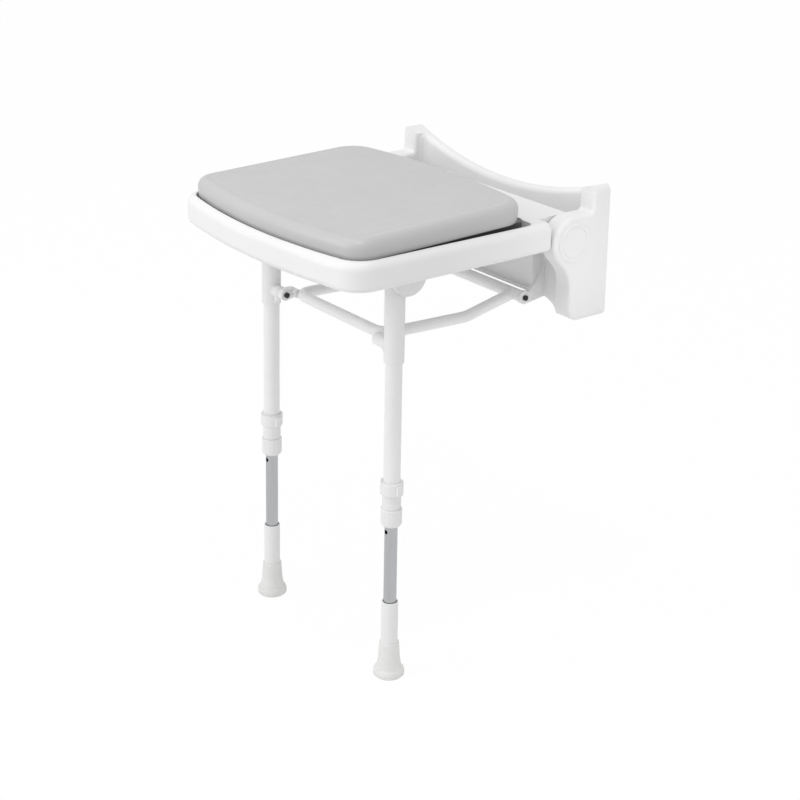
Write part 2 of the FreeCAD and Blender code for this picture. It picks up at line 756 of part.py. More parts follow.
def recess_outline(z, inset=0):
    """Opening that the foot of the pad drops into, with a straight rear."""
    return rounded_outline(
        size("pad_width"), pad_front, size("pad_front_bow"), size("pad_corner"),
        size("recess_rear"), 0, size("recess_rear_corner"), z, inset,
    )


def seat_shell():
    """Hollow rim, sunk pan and the deck that reaches back between the ears."""
    height = rim_top - rim_bottom
    solid = Part.Face(outline_wire(rim_outline(rim_bottom))).extrude(Z_AXIS * height)
    arm_y = -arm_end_y

    def along(z):
        return [
            edge for edge in solid.Edges
            if all(abs(vertex.Z - z) < near for vertex in edge.Vertexes)
            and edge.CenterOfMass.y < arm_y - 0.5
        ]

    solid = solid.makeFillet(size("rim_top_round"), along(rim_top))
    solid = solid.makeFillet(size("rim_bottom_round"), along(rim_bottom))
    rear_edges = [
        edge for edge in solid.Edges
        if all(abs(vertex.Z - rim_top) < near and abs(vertex.Y - arm_y) < near for vertex in edge.Vertexes)
    ]
    solid = solid.makeFillet(size("arm_end_round"), rear_edges)
    tail_x = ear_inner - size("side_clearance")
    tail_y = hinge_y + size("deck_behind")
    tail = block(at(-tail_x, arm_y - wall, rim_bottom), at(tail_x, tail_y, rim_top))
    solid = solid.fuse(tail)
    under_rim = rim_top - wall
    hollow = Part.Face(outline_wire(rim_outline(rim_bottom, size("rim_wall")))).extrude(
        Z_AXIS * (under_rim - rim_bottom)
    )
    tail_hollow = block(
        at(wall - tail_x, arm_y - 2 * wall, rim_bottom),
        at(tail_x - wall, tail_y - wall, under_rim),
    )
    swing = disc(
        size("knuckle_radius") + wall, 2 * tail_x, at(-tail_x, hinge_y, hinge_z), X_AXIS
    )
    below_lip = block(
        at(-tail_x - 1, hinge_y, rim_bottom - 1),
        at(tail_x + 1, tail_y + 1, rim_top - size("deck_lip")),
    )
    side_keep = swing.common(block(
        at(-tail_x, hinge_y, rim_bottom), at(tail_x, tail_y, rim_top),
    ))
    below_lip = below_lip.cut(side_keep)
    hollow = hollow.multiFuse([tail_hollow])
    gap = size("recess_gap")
    basin = Part.Face(outline_wire(recess_outline(pan_bottom, -gap - wall))).extrude(
        Z_AXIS * size("bracket_rise")
    )
    hollow = hollow.cut(basin)
    recess = Part.Face(outline_wire(recess_outline(pan_top, -gap))).extrude(
        Z_AXIS * size("bracket_rise")
    )
    return solid.cut([hollow, below_lip, recess])


def seat_ribs():
    """Stiffening ribs under the pan."""
    thick = size("rib_thickness")
    low = pan_bottom - size("rib_height")
    reach = ear_inner - size("side_clearance") - wall
    front = -pad_front
    ribs = []
    for x in (-size("stud_spread") * 0.3, size("stud_spread") * 0.3):
        ribs.append(block(at(x - thick / 2, front, low), at(x + thick / 2, -arm_end_y, pan_bottom)))
    first = -size("stud_rear") - size("small_screw_radius") * 8
    last = -size("stud_rear") - size("stud_pitch") + size("small_screw_radius") * 8
    for share in (0, 0.45):
        y = first + share * (last - first)
        ribs.append(block(at(-reach, y - thick, low), at(reach, y, pan_bottom)))
    return ribs


def seat_frame():
    knuckle_outer = evaluate(KNUCKLE_OUTER)
    knuckle_inner = knuckle_outer - size("knuckle_width")
    radius = size("knuckle_radius")
    solid = seat_shell()
    extra = seat_ribs()
    boss = disc(radius, size("knuckle_width"), at(knuckle_inner, hinge_y, hinge_z), X_AXIS)
    cheek = block(
        at(knuckle_inner, hinge_y - radius, hinge_z),
        at(knuckle_inner + wall, hinge_y + radius - wall, rim_top - wall),
    )
    gallows = block(
        at(knuckle_inner, -arm_end_y - 3 * wall, hinge_z - size("rim_below")),
        at(knuckle_inner + wall, hinge_y, rim_top - wall),
    )
    post = block(
        at(knuckle_inner, hinge_y - wall, hinge_z),
        at(knuckle_outer, hinge_y + wall, rim_top - wall),
    )
    for shape in (boss, cheek, gallows, post):
        extra += [shape, mirrored(shape)]
    solid = solid.multiFuse(extra)
    bush = size("hinge_pin_radius") + size("running_gap") + size("bush_wall")
    tools = [disc(bush, 4 * size("ear_width"), at(knuckle_inner - size("ear_width"), hinge_y, hinge_z), X_AXIS)]
    tools.append(mirrored(tools[0]))
    flange = size("hinge_pin_radius") + 3 * size("bush_wall") + size("free_gap")
    tools.append(disc(flange, size("ear_width"), at(knuckle_outer, hinge_y, hinge_z), X_AXIS))
    tools.append(mirrored(tools[-1]))
    for x, y in stud_places():
        tools.append(disc(size("stud_radius") + size("running_gap"), wall + 2, at(x, y, pan_bottom - 1), Z_AXIS))
    return solid.cut(tools).removeSplitter()


def stud_places():
    half = size("stud_spread") / 2
    rear = -size("stud_rear")
    return [(x, y) for x in (-half, half) for y in (rear, rear - size("stud_pitch"))]


moulded("seat_frame", seat_frame())

pad_bottom = pan_top + size("free_gap")


def pad_form():
    """Pad with drawn-in sides on a foot that fills the recess, leaning forward by its tilt."""
    low = hinge_z + size("pad_low")
    edge = size("pad_edge")
    top = hinge_z + size("pad_above")
    side_top = top - edge
    undercut = size("pad_undercut")
    sections = [(low, undercut), ((low + side_top) / 2, 0)]
    for degrees in (0, 30, 55, 75):
        turn = math.radians(degrees)
        sections.append((side_top + edge * math.sin(turn), edge * (1 - math.cos(turn))))
    sections.append((top, edge))
    wires = [outline_wire(pad_outline(z, inset)) for z, inset in sections]
    body = Part.makeLoft(wires, True, False)
    body.rotate(at(0, -pad_front, low), X_AXIS, size("pad_tilt"))
    foot_outline = rounded_outline(
        size("pad_width"), pad_front, size("pad_front_bow"), size("pad_corner"),
        size("recess_rear") + size("recess_gap") - size("pad_foot_inset"),
        0, size("recess_rear_corner"), pad_bottom, size("pad_foot_inset"),
    )
    foot_height = low + size("pad_foot_height") - pad_bottom
    foot = Part.Face(outline_wire(foot_outline)).extrude(Z_AXIS * foot_height)
    return body.fuse(foot).removeSplitter()


def pad_base_form(spare):
    """Stiff base under the pad, larger all round by the spare value."""
    inset = size("pad_base_inset") - spare
    face = Part.Face(outline_wire(pad_outline(pan_top - spare, inset)))
    return face.extrude(Z_AXIS * (size("pad_base_thickness") + 2 * spare))


moulded("seat_pad", pad_form().cut(pad_base_form(size("free_gap"))))
moulded("pad_base", pad_base_form(0))

studs = []
for number, (x_share, y_share) in enumerate(((-1, 0), (-1, 1), (1, 0), (1, 1)), start=1):
    stud = turned(
        f"pad_stud_{number}",
        [
            ("0", "0"),
            ("{stud_radius}", "0"),
            ("{stud_radius}", "-{moulding_wall}-{free_gap}"),
            ("{stud_radius}+{stud_head}", "-{moulding_wall}-{free_gap}-{stud_head}"),
            ("{stud_radius}", "-{moulding_wall}-{free_gap}-3*{stud_head}"),
            ("0", "-{moulding_wall}-{free_gap}-3*{stud_head}"),
        ],
        f"{x_share}*{{stud_spread}}/2",
        f"-{{stud_rear}}-{y_share}*{{stud_pitch}}",
        PAN_TOP,
    )
    studs.append(stud)
piece("pad_studs", group("pad_studs", studs))


# Leg brackets under the seat

def leg_bracket():
    """Base plate with two round cheeks for the leg pivot."""
    gap = size("head_width") / 2 + size("free_gap")
    thick = size("cheek_thickness")
    length = size("bracket_base_length")
    top = pan_bottom
    half = gap + thick + size("bracket_flange")
    base = block(
        at(leg_x - half, leg_pivot_y - length / 2, top - size("bracket_base_thickness")),
        at(leg_x + half, leg_pivot_y + length / 2, top),
    )
    shapes = []
    for start in (leg_x - gap - thick, leg_x + gap):
        radius = size("cheek_radius")
        round_part = disc(radius, thick, at(start, leg_pivot_y, leg_pivot_z), X_AXIS)
        room = block(
            at(start, leg_pivot_y - radius, leg_pivot_z - radius),
            at(start + thick, leg_pivot_y + radius, top),
        )
        upper = block(
            at(start, leg_pivot_y - radius, leg_pivot_z),
            at(start + thick, leg_pivot_y + radius, top),
        )
        shapes.append(round_part.common(room).fuse(upper))
    solid = base.multiFuse(shapes)
    tools = [disc(size("leg_pin_radius"), 4 * gap, at(leg_x - 2 * gap, leg_pivot_y, leg_pivot_z), X_AXIS)]
    for x, y in bracket_screw_places():
        tools.append(disc(size("small_screw_radius"), 3 * wall, at(x, y, top - 2 * wall), Z_AXIS))
    return solid.cut(tools).removeSplitter()


def bracket_screw_places():
    """Four screws in the base flanges of the right hand leg bracket."""
    offset = size("head_width") / 2 + size("free_gap") + size("cheek_thickness")
    offset += size("bracket_flange") / 2
    along = size("bracket_base_length") / 2 - size("bracket_flange") / 2
    return [(leg_x + i * offset, leg_pivot_y + j * along) for i in (-1, 1) for j in (-1, 1)]


SCREW_OFFSET = "({head_width}/2+{free_gap}+{cheek_thickness}+{bracket_flange}/2)"
SCREW_ALONG = "({bracket_base_length}/2-{bracket_flange}/2)"
moulded("leg_bracket_right", leg_bracket())
moulded("leg_bracket_left", mirrored(leg_bracket()))
bracket_screws = []
for side in (1, -1):
    for i in (-1, 1):
        for j in (-1, 1):
            label = f"bracket_screw_{len(bracket_screws) + 1}"
            x = f"{side}*({{leg_spread}}/2+{i}*{SCREW_OFFSET})"
            y = f"{LEG_PIVOT_Y}+{j}*{SCREW_ALONG}"
            shank = cylinder(
                label + "_shank", "{small_screw_radius}",
                "{bracket_base_thickness}", x, y, PAN_BOTTOM + "-{bracket_base_thickness}",
            )
            head = cylinder(
                label + "_head", "{small_screw_head}", "{small_screw_radius}",
                x, y, PAN_BOTTOM + "-{bracket_base_thickness}-{small_screw_radius}",
            )
            bracket_screws.append(fuse(label, [shank, head]))
piece("bracket_screws", group("bracket_screws", bracket_screws))


# Legs, feet and brace

def leg_head():
    """Sleeve over the leg tube with the pivot block above and the brace arm inboard."""
    radius = size("head_radius")
    pivot_z = leg_pivot_z
    low = link_z - size("head_foot")
    high = pivot_z - size("head_drop")
    sleeve = disc(radius, high - low, at(leg_x, leg_y, low), Z_AXIS)
    half = size("head_width") / 2
    barrel_radius = size("head_barrel_radius")
    barrel = disc(barrel_radius, size("head_width"), at(leg_x - half, leg_pivot_y, pivot_z), X_AXIS)
    neck_low = pivot_z - 2.6 * radius
    neck_half = size("neck_share") * radius
    neck_x = leg_x - neck_half
    neck_y = leg_y + size("neck_rear_share") * radius
    neck = prism(
        [
            at(neck_x, leg_y, neck_low),
            at(neck_x, leg_y, high),
            at(neck_x, leg_pivot_y, pivot_z),
            at(neck_x, leg_pivot_y + 0.92 * barrel_radius, pivot_z - 0.39 * barrel_radius),
            at(neck_x, neck_y, neck_low),
        ],
        X_AXIS * (2 * neck_half),
    )
    arm_end = size("arm_end")
    arm_radius = size("arm_radius")
    arm = disc(arm_radius, leg_x - arm_end, at(arm_end, leg_y, link_z), X_AXIS)
    web_half = arm_radius * 0.45
    web = prism(
        [
            at(arm_end + 2, leg_y - web_half, link_z - 0.8 * arm_radius),
            at(leg_x, leg_y - web_half, link_z - 0.8 * arm_radius),
            at(leg_x, leg_y - web_half, low),
            at(leg_x - radius + 1, leg_y - web_half, low),
            (
                "arc",
                at(
                    (arm_end + leg_x - radius) / 2 + 2, leg_y - web_half,
                    (low + link_z - 0.8 * arm_radius) / 2 + 1,
                ),
                at(arm_end + 2, leg_y - web_half, link_z - 0.8 * arm_radius),
            ),
        ],
        Y_AXIS * (2 * web_half),
    )
    solid = sleeve.multiFuse([barrel, neck, arm, web])
    bore_top = pivot_z - 2.2 * radius
    tools = [
        disc(size("leg_tube_radius"), bore_top - low + 1, at(leg_x, leg_y, low - 1), Z_AXIS),
        disc(
            size("leg_pin_radius") + size("running_gap"), 2 * size("head_width"),
            at(leg_x - size("head_width"), leg_pivot_y, pivot_z), X_AXIS,
        ),
        disc(
            size("link_screw_radius"), size("link_screw_depth"),
            at(arm_end, leg_y, link_z), X_AXIS,
        ),
    ]
    return solid.cut(tools).removeSplitter()


HEAD_BORE_TOP = f"({LEG_PIVOT_Z}-2.2*{{head_radius}})"
GLAND_TOP = f"({FLOOR_Z}+{{gland_top}})"
NECK_BOTTOM = f"({GLAND_TOP}-{{gland_ring_height}}-{{gland_neck_height}})"
TUBE_BOTTOM = f"({GLAND_TOP}-{{gland_socket}})"
NUT_TOP = f"({NECK_BOTTOM}-{{free_gap}})"
NUT_BOTTOM = f"({NUT_TOP}-{{nut_height}})"
gland_bore = "({foot_tube_radius}+{free_gap})"
spigot_radius = "({nut_radius}-2.6)"


def gland_body(name, x):
    """Ring with two wings, neck and the threaded spigot that the nut runs on."""
    ring_drop = "{gland_ring_height}"
    neck_drop = "({gland_ring_height}+{gland_neck_height})"
    spigot_drop = f"({neck_drop}+{{free_gap}}+{{spigot_height}})"
    body = turned(
        name + "_turned",
        [
            ("{leg_tube_radius}", "0"),
            ("{gland_ring_radius}-1", "0"),
            ("{gland_ring_radius}", "-1"),
            ("{gland_ring_radius}", f"1-{ring_drop}"),
            ("{gland_ring_radius}-1", f"-{ring_drop}"),
            ("{leg_tube_radius}+1.2", f"-{ring_drop}"),
            ("{leg_tube_radius}+1.2", f"-{neck_drop}"),
            (spigot_radius, f"-{neck_drop}"),
            (spigot_radius, f"-{spigot_drop}"),
            (gland_bore, f"-{spigot_drop}"),
            (gland_bore, "-{gland_socket}"),
            ("{leg_tube_radius}", "-{gland_socket}"),
        ],
        x, LEG_Y, GLAND_TOP,
    )
    wing = box(
        name + "_wing", "{gland_wing_span}", "{gland_wing_width}", "{gland_ring_height}-4",
        f"{x}-{{gland_wing_span}}/2", f"{LEG_Y}-{{gland_wing_width}}/2",
        GLAND_TOP + "-{gland_ring_height}+2",
    )
    core = cylinder(
        name + "_core", "{leg_tube_radius}+1", "{gland_ring_height}", x, LEG_Y,
        GLAND_TOP + "-{gland_ring_height}",
    )
    return fuse(name, [body, cut(name + "_wings", wing, core)])


def gland_nut(name, x):
    """Fluted nut with a chamfered foot."""
    body = turned(
        name + "_turned",
        [
            (spigot_radius + "+{free_gap}", "0"),
            ("{nut_radius}-1", "0"),
            ("{nut_radius}", "-1"),
            ("{nut_radius}", "{nut_chamfer}-{nut_height}"),
            ("{nut_radius}-0.6*{nut_chamfer}", "-{nut_height}"),
            (gland_bore, "-{nut_height}"),
            (gland_bore, "{nut_floor}-{nut_height}"),
            (spigot_radius + "+{free_gap}", "{nut_floor}-{nut_height}"),
        ],
        x, LEG_Y, NUT_TOP,
    )
    flutes = []
    for number in range(int(size("nut_flutes"))):
        turn = f"({number}*360/{{nut_flutes}}+15)*1 deg"
        reach = "({nut_radius}+{flute_radius}*0.72)"
        flutes.append(cylinder(
            f"{name}_flute_{number + 1}", "{flute_radius}", "0.6*{nut_height}",
            f"{x}+{reach}*cos({turn})", f"{LEG_Y}+{reach}*sin({turn})",
            NUT_BOTTOM + "+0.26*{nut_height}",
        ))
    return cut(name, body, fuse(name + "_flutes", flutes))


def collet(name, x):
    """Split ring that the nut squeezes onto the inner tube."""
    low = NUT_BOTTOM + "+{nut_floor}"
    ring = tube(
        name + "_ring", spigot_radius + "-{free_gap}", "{foot_tube_radius}+{running_gap}",
        "{collet_height}", x, LEG_Y, low,
    )
    slit = box(
        name + "_slit", "2*{nut_radius}", "{collet_slit}", "2*{collet_height}",
        x, f"{LEG_Y}-{{collet_slit}}/2", low + "-1",
    )
    return cut(name, ring, slit)


def foot_tube(name, x):
    """Inner tube with a row of adjusting holes in its front."""
    low = f"({FLOOR_Z}+{{ferrule_floor}})"
    body = tube(
        name + "_plain", "{foot_tube_radius}", "{foot_tube_radius}-{foot_tube_wall}",
        "{foot_tube_top}-{ferrule_floor}", x, LEG_Y, low,
    )
    holes = []
    for number in range(int(size("hole_count"))):
        holes.append(cylinder(
            f"{name}_hole_{number + 1}", "{hole_radius}", "{foot_tube_radius}+1",
            x, f"{LEG_Y}-{{foot_tube_radius}}-1",
            f"{FLOOR_Z}+{{lowest_hole}}+{number}*{{hole_pitch}}", "y",
        ))
    return cut(name, body, fuse(name + "_holes", holes))


def brace_strut():
    """Cranked tube from the rear tube to the front corner, with its corner bend."""
    x = size("brace_spread") / 2
    start = at(x, brace_y, brace_z)
    bend = at(x, brace_y - size("crank_forward"), brace_z - size("crank_drop"))
    corner = brace_corner()
    end = at(x - size("corner_bend"), corner.y, corner.z)
    first = (bend - start).normalize()
    second = (corner - bend).normalize()
    third = Vector(-1, 0, 0)
    path = [start]
    edges = []
    for spot, incoming, outgoing, radius in (
        (bend, first, second, size("crank_radius")),
        (corner, second, third, size("corner_bend") - 2),
    ):
        turn = incoming.getAngle(outgoing)
        reach = radius * math.tan(turn / 2)
        enter = spot - incoming * reach
        leave = spot + outgoing * reach
        normal = (outgoing - incoming * incoming.dot(outgoing)).normalize()
        centre = enter + normal * radius
        middle = centre + (spot - centre).normalize() * radius
        edges.append(Part.LineSegment(path[-1], enter).toShape())
        edges.append(Part.Arc(enter, middle, leave).toShape())
        path.append(leave)
    edges.append(Part.LineSegment(path[-1], end).toShape())
    spine = Part.Wire(edges)
    radius = size("brace_tube_radius")
    shells = []
    for section in (radius, radius - size("brace_tube_wall")):
        ring = Part.Wire(Part.makeCircle(section, start, first))
        shells.append(spine.makePipeShell([ring], True, False))
    rear = disc(size("rear_tube_radius"), 4 * x, at(-2 * x, brace_y, brace_z), X_AXIS)
    solid = shells[0].cut(shells[1]).cut(rear)
    return max(solid.Solids, key=lambda part: part.Volume), shells[0]


def brace_corner():
    """Corner point of the brace, where a strut turns into the front tube."""
    return at(
        size("brace_spread") / 2,
        leg_y + size("front_tube_back"),
        link_z - size("front_tube_drop"),
    )


def brace_lug(strut_body):
    """Link plate from the corner of the brace up to the leg pivot."""
    inner = size("arm_end") - size("free_gap") - size("lug_thickness")
    thick = size("lug_thickness")
    radius = size("lug_radius")
    corner = brace_corner()
    pivot = at(inner, leg_y, link_z)
    foot = at(inner, corner.y, corner.z)
    along = (foot - pivot).normalize()
    across = X_AXIS.cross(along)
    root = 0.8 * size("brace_tube_radius")
    plate = prism(
        [
            pivot + across * radius,
            foot + across * root,
            ("arc", foot + along * root, foot - across * root),
            pivot - across * radius,
            ("arc", pivot - along * radius, pivot + across * radius),
        ],
        X_AXIS * thick,
    )
    reach = inner - size("brace_spread") / 2
    stub = disc(root, reach + 1, at(size("brace_spread") / 2, corner.y, corner.z), X_AXIS)
    bore = disc(
        size("link_screw_radius") + size("running_gap"), 3 * thick, pivot - X_AXIS * thick, X_AXIS
    )
    solid = plate.fuse(stub).cut([strut_body, bore]).removeSplitter()
    return max(solid.Solids, key=lambda part: part.Volume)


strut, strut_body = brace_strut()
lug = brace_lug(strut_body)
moulded("brace_strut_right", strut)
moulded("brace_strut_left", mirrored(strut))
moulded("brace_lug_right", lug)
moulded("brace_lug_left", mirrored(lug))

FRONT_TUBE_HALF = "({brace_spread}/2-{corner_bend})"
piece("brace_front_tube", tube(
    "brace_front_tube", "{brace_tube_radius}", "{brace_tube_radius}-{brace_tube_wall}",
    f"2*{FRONT_TUBE_HALF}", f"-{FRONT_TUBE_HALF}", LEG_Y + "+{front_tube_back}",
    LINK_Z + "-{front_tube_drop}", "x",
))
REAR_TUBE_HALF = "({gusset_outer}-{gusset_thickness}-{free_gap})"
piece("brace_rear_tube", tube(
    "brace_rear_tube", "{rear_tube_radius}", "{rear_tube_radius}-{brace_tube_wall}",
    f"2*{REAR_TUBE_HALF}", f"-{REAR_TUBE_HALF}", BRACE_Y, BRACE_Z, "x",
))

for side, hand in ((1, "right"), (-1, "left")):
    sign = "" if side > 0 else "-"
    leg_place = f"({sign}{{leg_spread}}/2)"
    head = leg_head()
    moulded(f"leg_head_{hand}", head if side > 0 else mirrored(head))
    piece(f"leg_tube_{hand}", tube(
        f"leg_tube_{hand}", "{leg_tube_radius}", "{leg_tube_radius}-{leg_tube_wall}",
        f"{HEAD_BORE_TOP}-{TUBE_BOTTOM}", leg_place, LEG_Y, TUBE_BOTTOM,
    ))
    piece(f"gland_body_{hand}", gland_body(f"gland_body_{hand}", leg_place))
    piece(f"gland_nut_{hand}", gland_nut(f"gland_nut_{hand}", leg_place))
    piece(f"gland_collet_{hand}", collet(f"gland_collet_{hand}", leg_place))
    piece(f"foot_tube_{hand}", foot_tube(f"foot_tube_{hand}", leg_place))

    sleeve = turned(
        f"foot_sleeve_{hand}",
        [
            ("{foot_tube_radius}", "{ferrule_floor}"),
            ("{leg_tube_radius}", "{ferrule_floor}"),
            ("{leg_tube_radius}", "{sleeve_top}-0.6"),
            ("{leg_tube_radius}-0.6", "{sleeve_top}"),
            ("{foot_tube_radius}+1", "{sleeve_top}"),
            ("{foot_tube_radius}+1", "{sleeve_top}-{sleeve_mouth}"),
            ("{foot_tube_radius}", "{sleeve_top}-{sleeve_mouth}"),
        ],
        leg_place, LEG_Y, FLOOR_Z,
    )
    piece(f"foot_sleeve_{hand}", sleeve)
    ferrule = turned(
        f"foot_ferrule_{hand}",
        [
            ("0", "0"),
            ("{ferrule_foot_radius}-1.5", "0"),
            ("{ferrule_foot_radius}", "1.5"),
            ("{ferrule_foot_radius}", "0.6*{ferrule_waist_height}"),
            ("{ferrule_foot_radius}-1.2", "0.9*{ferrule_waist_height}"),
            ("{ferrule_waist_radius}+0.8", "{ferrule_waist_height}"),
            ("{ferrule_waist_radius}", "1.2*{ferrule_waist_height}"),
            ("0.4*{ferrule_waist_radius}+0.6*{ferrule_top_radius}", "2.4*{ferrule_waist_height}"),
            ("{ferrule_top_radius}", "{ferrule_height}-1"),
            ("{ferrule_top_radius}-1", "{ferrule_height}"),
            ("{leg_tube_radius}", "{ferrule_height}"),
            ("{leg_tube_radius}", "{ferrule_floor}"),
            ("0", "{ferrule_floor}"),
        ],
        leg_place, LEG_Y, FLOOR_Z,
    )
    piece(f"foot_ferrule_{hand}", ferrule)
    piece(f"foot_tube_plug_{hand}", turned(
        f"foot_tube_plug_{hand}",
        [
            ("0", "-8"),
            ("{foot_tube_radius}-{foot_tube_wall}", "-8"),
            ("{foot_tube_radius}-{foot_tube_wall}", "0"),
            ("{foot_tube_radius}", "0"),
            ("{foot_tube_radius}-1", "2"),
            ("0", "2"),
        ],
        leg_place, LEG_Y, FLOOR_Z + "+{foot_tube_top}",
    ))

    pin_reach = "({head_width}/2+{free_gap}+{cheek_thickness}+1.5)"
    pin = cylinder(
        f"leg_pivot_shank_{hand}", "{leg_pin_radius}", f"2*{pin_reach}",
        f"{leg_place}-{pin_reach}", LEG_PIVOT_Y, LEG_PIVOT_Z, "x",
    )
    pin_heads = []
    for end, start in (("a", f"-{pin_reach}"), ("b", f"+{pin_reach}-1.5")):
        pin_heads.append(cylinder(
            f"leg_pivot_head_{hand}_{end}", "1.7*{leg_pin_radius}", "1.5",
            leg_place + start, LEG_PIVOT_Y, LEG_PIVOT_Z, "x",
        ))
    piece(f"leg_pivot_pin_{hand}", fuse(f"leg_pivot_pin_{hand}", [pin] + pin_heads))

    inner_face = "({arm_end}-{free_gap}-{lug_thickness})"
    length = "({free_gap}+{lug_thickness}+{link_screw_depth}+0.1)"
    shank_start = f"{inner_face}-0.1" if side > 0 else "-{arm_end}-{link_screw_depth}"
    head_start = f"{inner_face}-0.1-{{link_head_height}}" if side > 0 else f"0.1-{inner_face}"
    shank = cylinder(
        f"link_screw_shank_{hand}", "{link_screw_radius}", length,
        shank_start, LEG_Y, LINK_Z, "x",
    )
    screw_head = cylinder(
        f"link_screw_head_{hand}", "{link_head_radius}", "{link_head_height}",
        head_start, LEG_Y, LINK_Z, "x",
    )
    piece(f"link_screw_{hand}", fuse(f"link_screw_{hand}", [shank, screw_head]))

    knuckle_inner = f"({KNUCKLE_OUTER}-{{knuckle_width}})"
    bush_start = knuckle_inner if side > 0 else f"-{KNUCKLE_OUTER}"
    sleeve = tube(
        f"hinge_bush_sleeve_{hand}", "{hinge_pin_radius}+{running_gap}+{bush_wall}",
        "{hinge_pin_radius}+{running_gap}", "{knuckle_width}", bush_start, HINGE_Y, HINGE_Z, "x",
    )
    flange_start = KNUCKLE_OUTER if side > 0 else f"-{KNUCKLE_OUTER}-{{bush_flange}}"
    flange = tube(
        f"hinge_bush_flange_{hand}", "{hinge_pin_radius}+3*{bush_wall}",
        "{hinge_pin_radius}+{running_gap}", "{bush_flange}", flange_start, HINGE_Y, HINGE_Z, "x",
    )
    piece(f"hinge_bush_{hand}", fuse(f"hinge_bush_{hand}", [sleeve, flange]))

    bush_depth = "({link_screw_depth}+{lug_thickness})"
    bush_from = f"{REAR_TUBE_HALF}-{bush_depth}" if side > 0 else f"-{REAR_TUBE_HALF}"
    piece(f"brace_bush_{hand}", tube(
        f"brace_bush_{hand}", "{rear_tube_radius}-{brace_tube_wall}",
        "{link_screw_radius}+{running_gap}", bush_depth, bush_from, BRACE_Y, BRACE_Z, "x",
    ))

doc.recompute()

# Every object has to be sound before anything is written
faulty = [obj.Label for obj in doc.Objects if "Invalid" in obj.State or "Error" in obj.State]
for name, obj in pieces.items():
    if obj.Shape.isNull() or not obj.Shape.isValid() or obj.Shape.Volume <= 0:
        faulty.append(name)
if faulty:
    raise RuntimeError("unsound objects: " + ", ".join(faulty))

os.makedirs("parts", exist_ok=True)
for name, obj in pieces.items():
    obj.Shape.exportStep(f"parts/{name}.step")
print(len(pieces), "pieces written")
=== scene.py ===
import math

import bpy
import numpy as np
from bpy.props import FloatProperty, FloatVectorProperty, PointerProperty
from mathutils import Matrix, Vector


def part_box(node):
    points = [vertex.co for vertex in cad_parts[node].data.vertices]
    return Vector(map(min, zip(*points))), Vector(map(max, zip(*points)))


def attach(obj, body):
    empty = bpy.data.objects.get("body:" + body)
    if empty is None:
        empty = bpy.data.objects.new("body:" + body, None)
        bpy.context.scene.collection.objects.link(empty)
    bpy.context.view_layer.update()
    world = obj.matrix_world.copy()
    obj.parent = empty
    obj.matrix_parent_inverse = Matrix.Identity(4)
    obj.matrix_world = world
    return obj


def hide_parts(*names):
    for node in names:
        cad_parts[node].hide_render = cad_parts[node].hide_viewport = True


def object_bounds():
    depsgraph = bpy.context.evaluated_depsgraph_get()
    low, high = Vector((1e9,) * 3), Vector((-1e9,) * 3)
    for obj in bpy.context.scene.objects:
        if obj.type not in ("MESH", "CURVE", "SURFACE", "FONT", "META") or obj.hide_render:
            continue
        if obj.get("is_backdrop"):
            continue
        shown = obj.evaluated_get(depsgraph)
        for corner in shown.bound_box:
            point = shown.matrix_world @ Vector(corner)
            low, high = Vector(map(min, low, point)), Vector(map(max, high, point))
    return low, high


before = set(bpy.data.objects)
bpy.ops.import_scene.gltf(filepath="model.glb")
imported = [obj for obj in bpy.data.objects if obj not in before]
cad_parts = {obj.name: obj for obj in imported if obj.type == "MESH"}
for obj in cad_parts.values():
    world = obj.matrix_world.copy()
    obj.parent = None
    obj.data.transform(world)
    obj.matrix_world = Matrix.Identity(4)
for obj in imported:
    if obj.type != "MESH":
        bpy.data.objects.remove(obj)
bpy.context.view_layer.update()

bl_info = {
    "name": "Fold down wall seat",
    "version": (1, 0, 0),
    "blender": (4, 5, 0),
    "location": "View3D > Sidebar > Wall Seat",
    "description": "Dresses the fold down wall seat and sets up its studio",
    "category": "Object",
}

# Sockets of a colour mix node
MIX_SHARE = 0
MIX_FIRST = 6
MIX_SECOND = 7
MIX_COLOUR = 2

# Points on each run of an outline
FRONT_POINTS = 96
FRONT_CORNER_POINTS = 40
SIDE_POINTS = 72
REAR_CORNER_POINTS = 32
REAR_POINTS = 88

# Rings on each part of the pad
SOLE_RINGS = 12
FOOT_RINGS = 6
SHELF_RINGS = 2
SIDE_RINGS = 12
EDGE_RINGS = 19
CREASE_RINGS = 15
TOP_RINGS = 28

# Camera, from the photograph's frame in pixels
PHOTO_SIDE = 800
FOCAL_PIXELS = 1814.07
OPTICAL_CENTRE = (395.88, 197.29)
SENSOR_WIDTH = 36.0
CAMERA_ANGLES = (52.14, 16.06, 0.98)
CAMERA_TARGET = (0.07028, -0.25, 0.08156)
CAMERA_DISTANCE = 2.29308
FARTHEST_SEEN = 50.0

# Studio
FLOOR_REACH = 6.0
FLOOR_COLOUR = (0.9, 0.9, 0.9)
FLOOR_ROUGHNESS = 0.9
FLOOR_GLOW = 0.97
SURROUND_LIGHT = 0.78
SEAT_MIDDLE = (0.0, -0.25, 0.0)
EAR_MIDDLE = (0.2, -0.05, 0.0)

# Name, place, aim, side in metres, power in watts and spread in degrees
LAMPS = [
    ("overhead_lamp", (-0.5, -0.9, 2.2), SEAT_MIDDLE, 1.4, 5.7, 180.0),
    ("front_lamp", (-0.7, -2.3, 0.9), SEAT_MIDDLE, 1.3, 14.0, 180.0),
    ("top_spot", (0.62, -0.74, 2.0), SEAT_MIDDLE, 0.12, 8.5, 180.0),
    ("camera_spot", (1.82, -1.67, 1.47), SEAT_MIDDLE, 0.12, 2.0, 180.0),
    ("ear_lamp", (0.5, -0.05, 0.0), EAR_MIDDLE, 0.2, 0.035, 60.0),
]


# Sizes and colours

def length(name, text, value):
    return FloatProperty(name=name, description=text, default=value, min=0.0, unit="LENGTH")


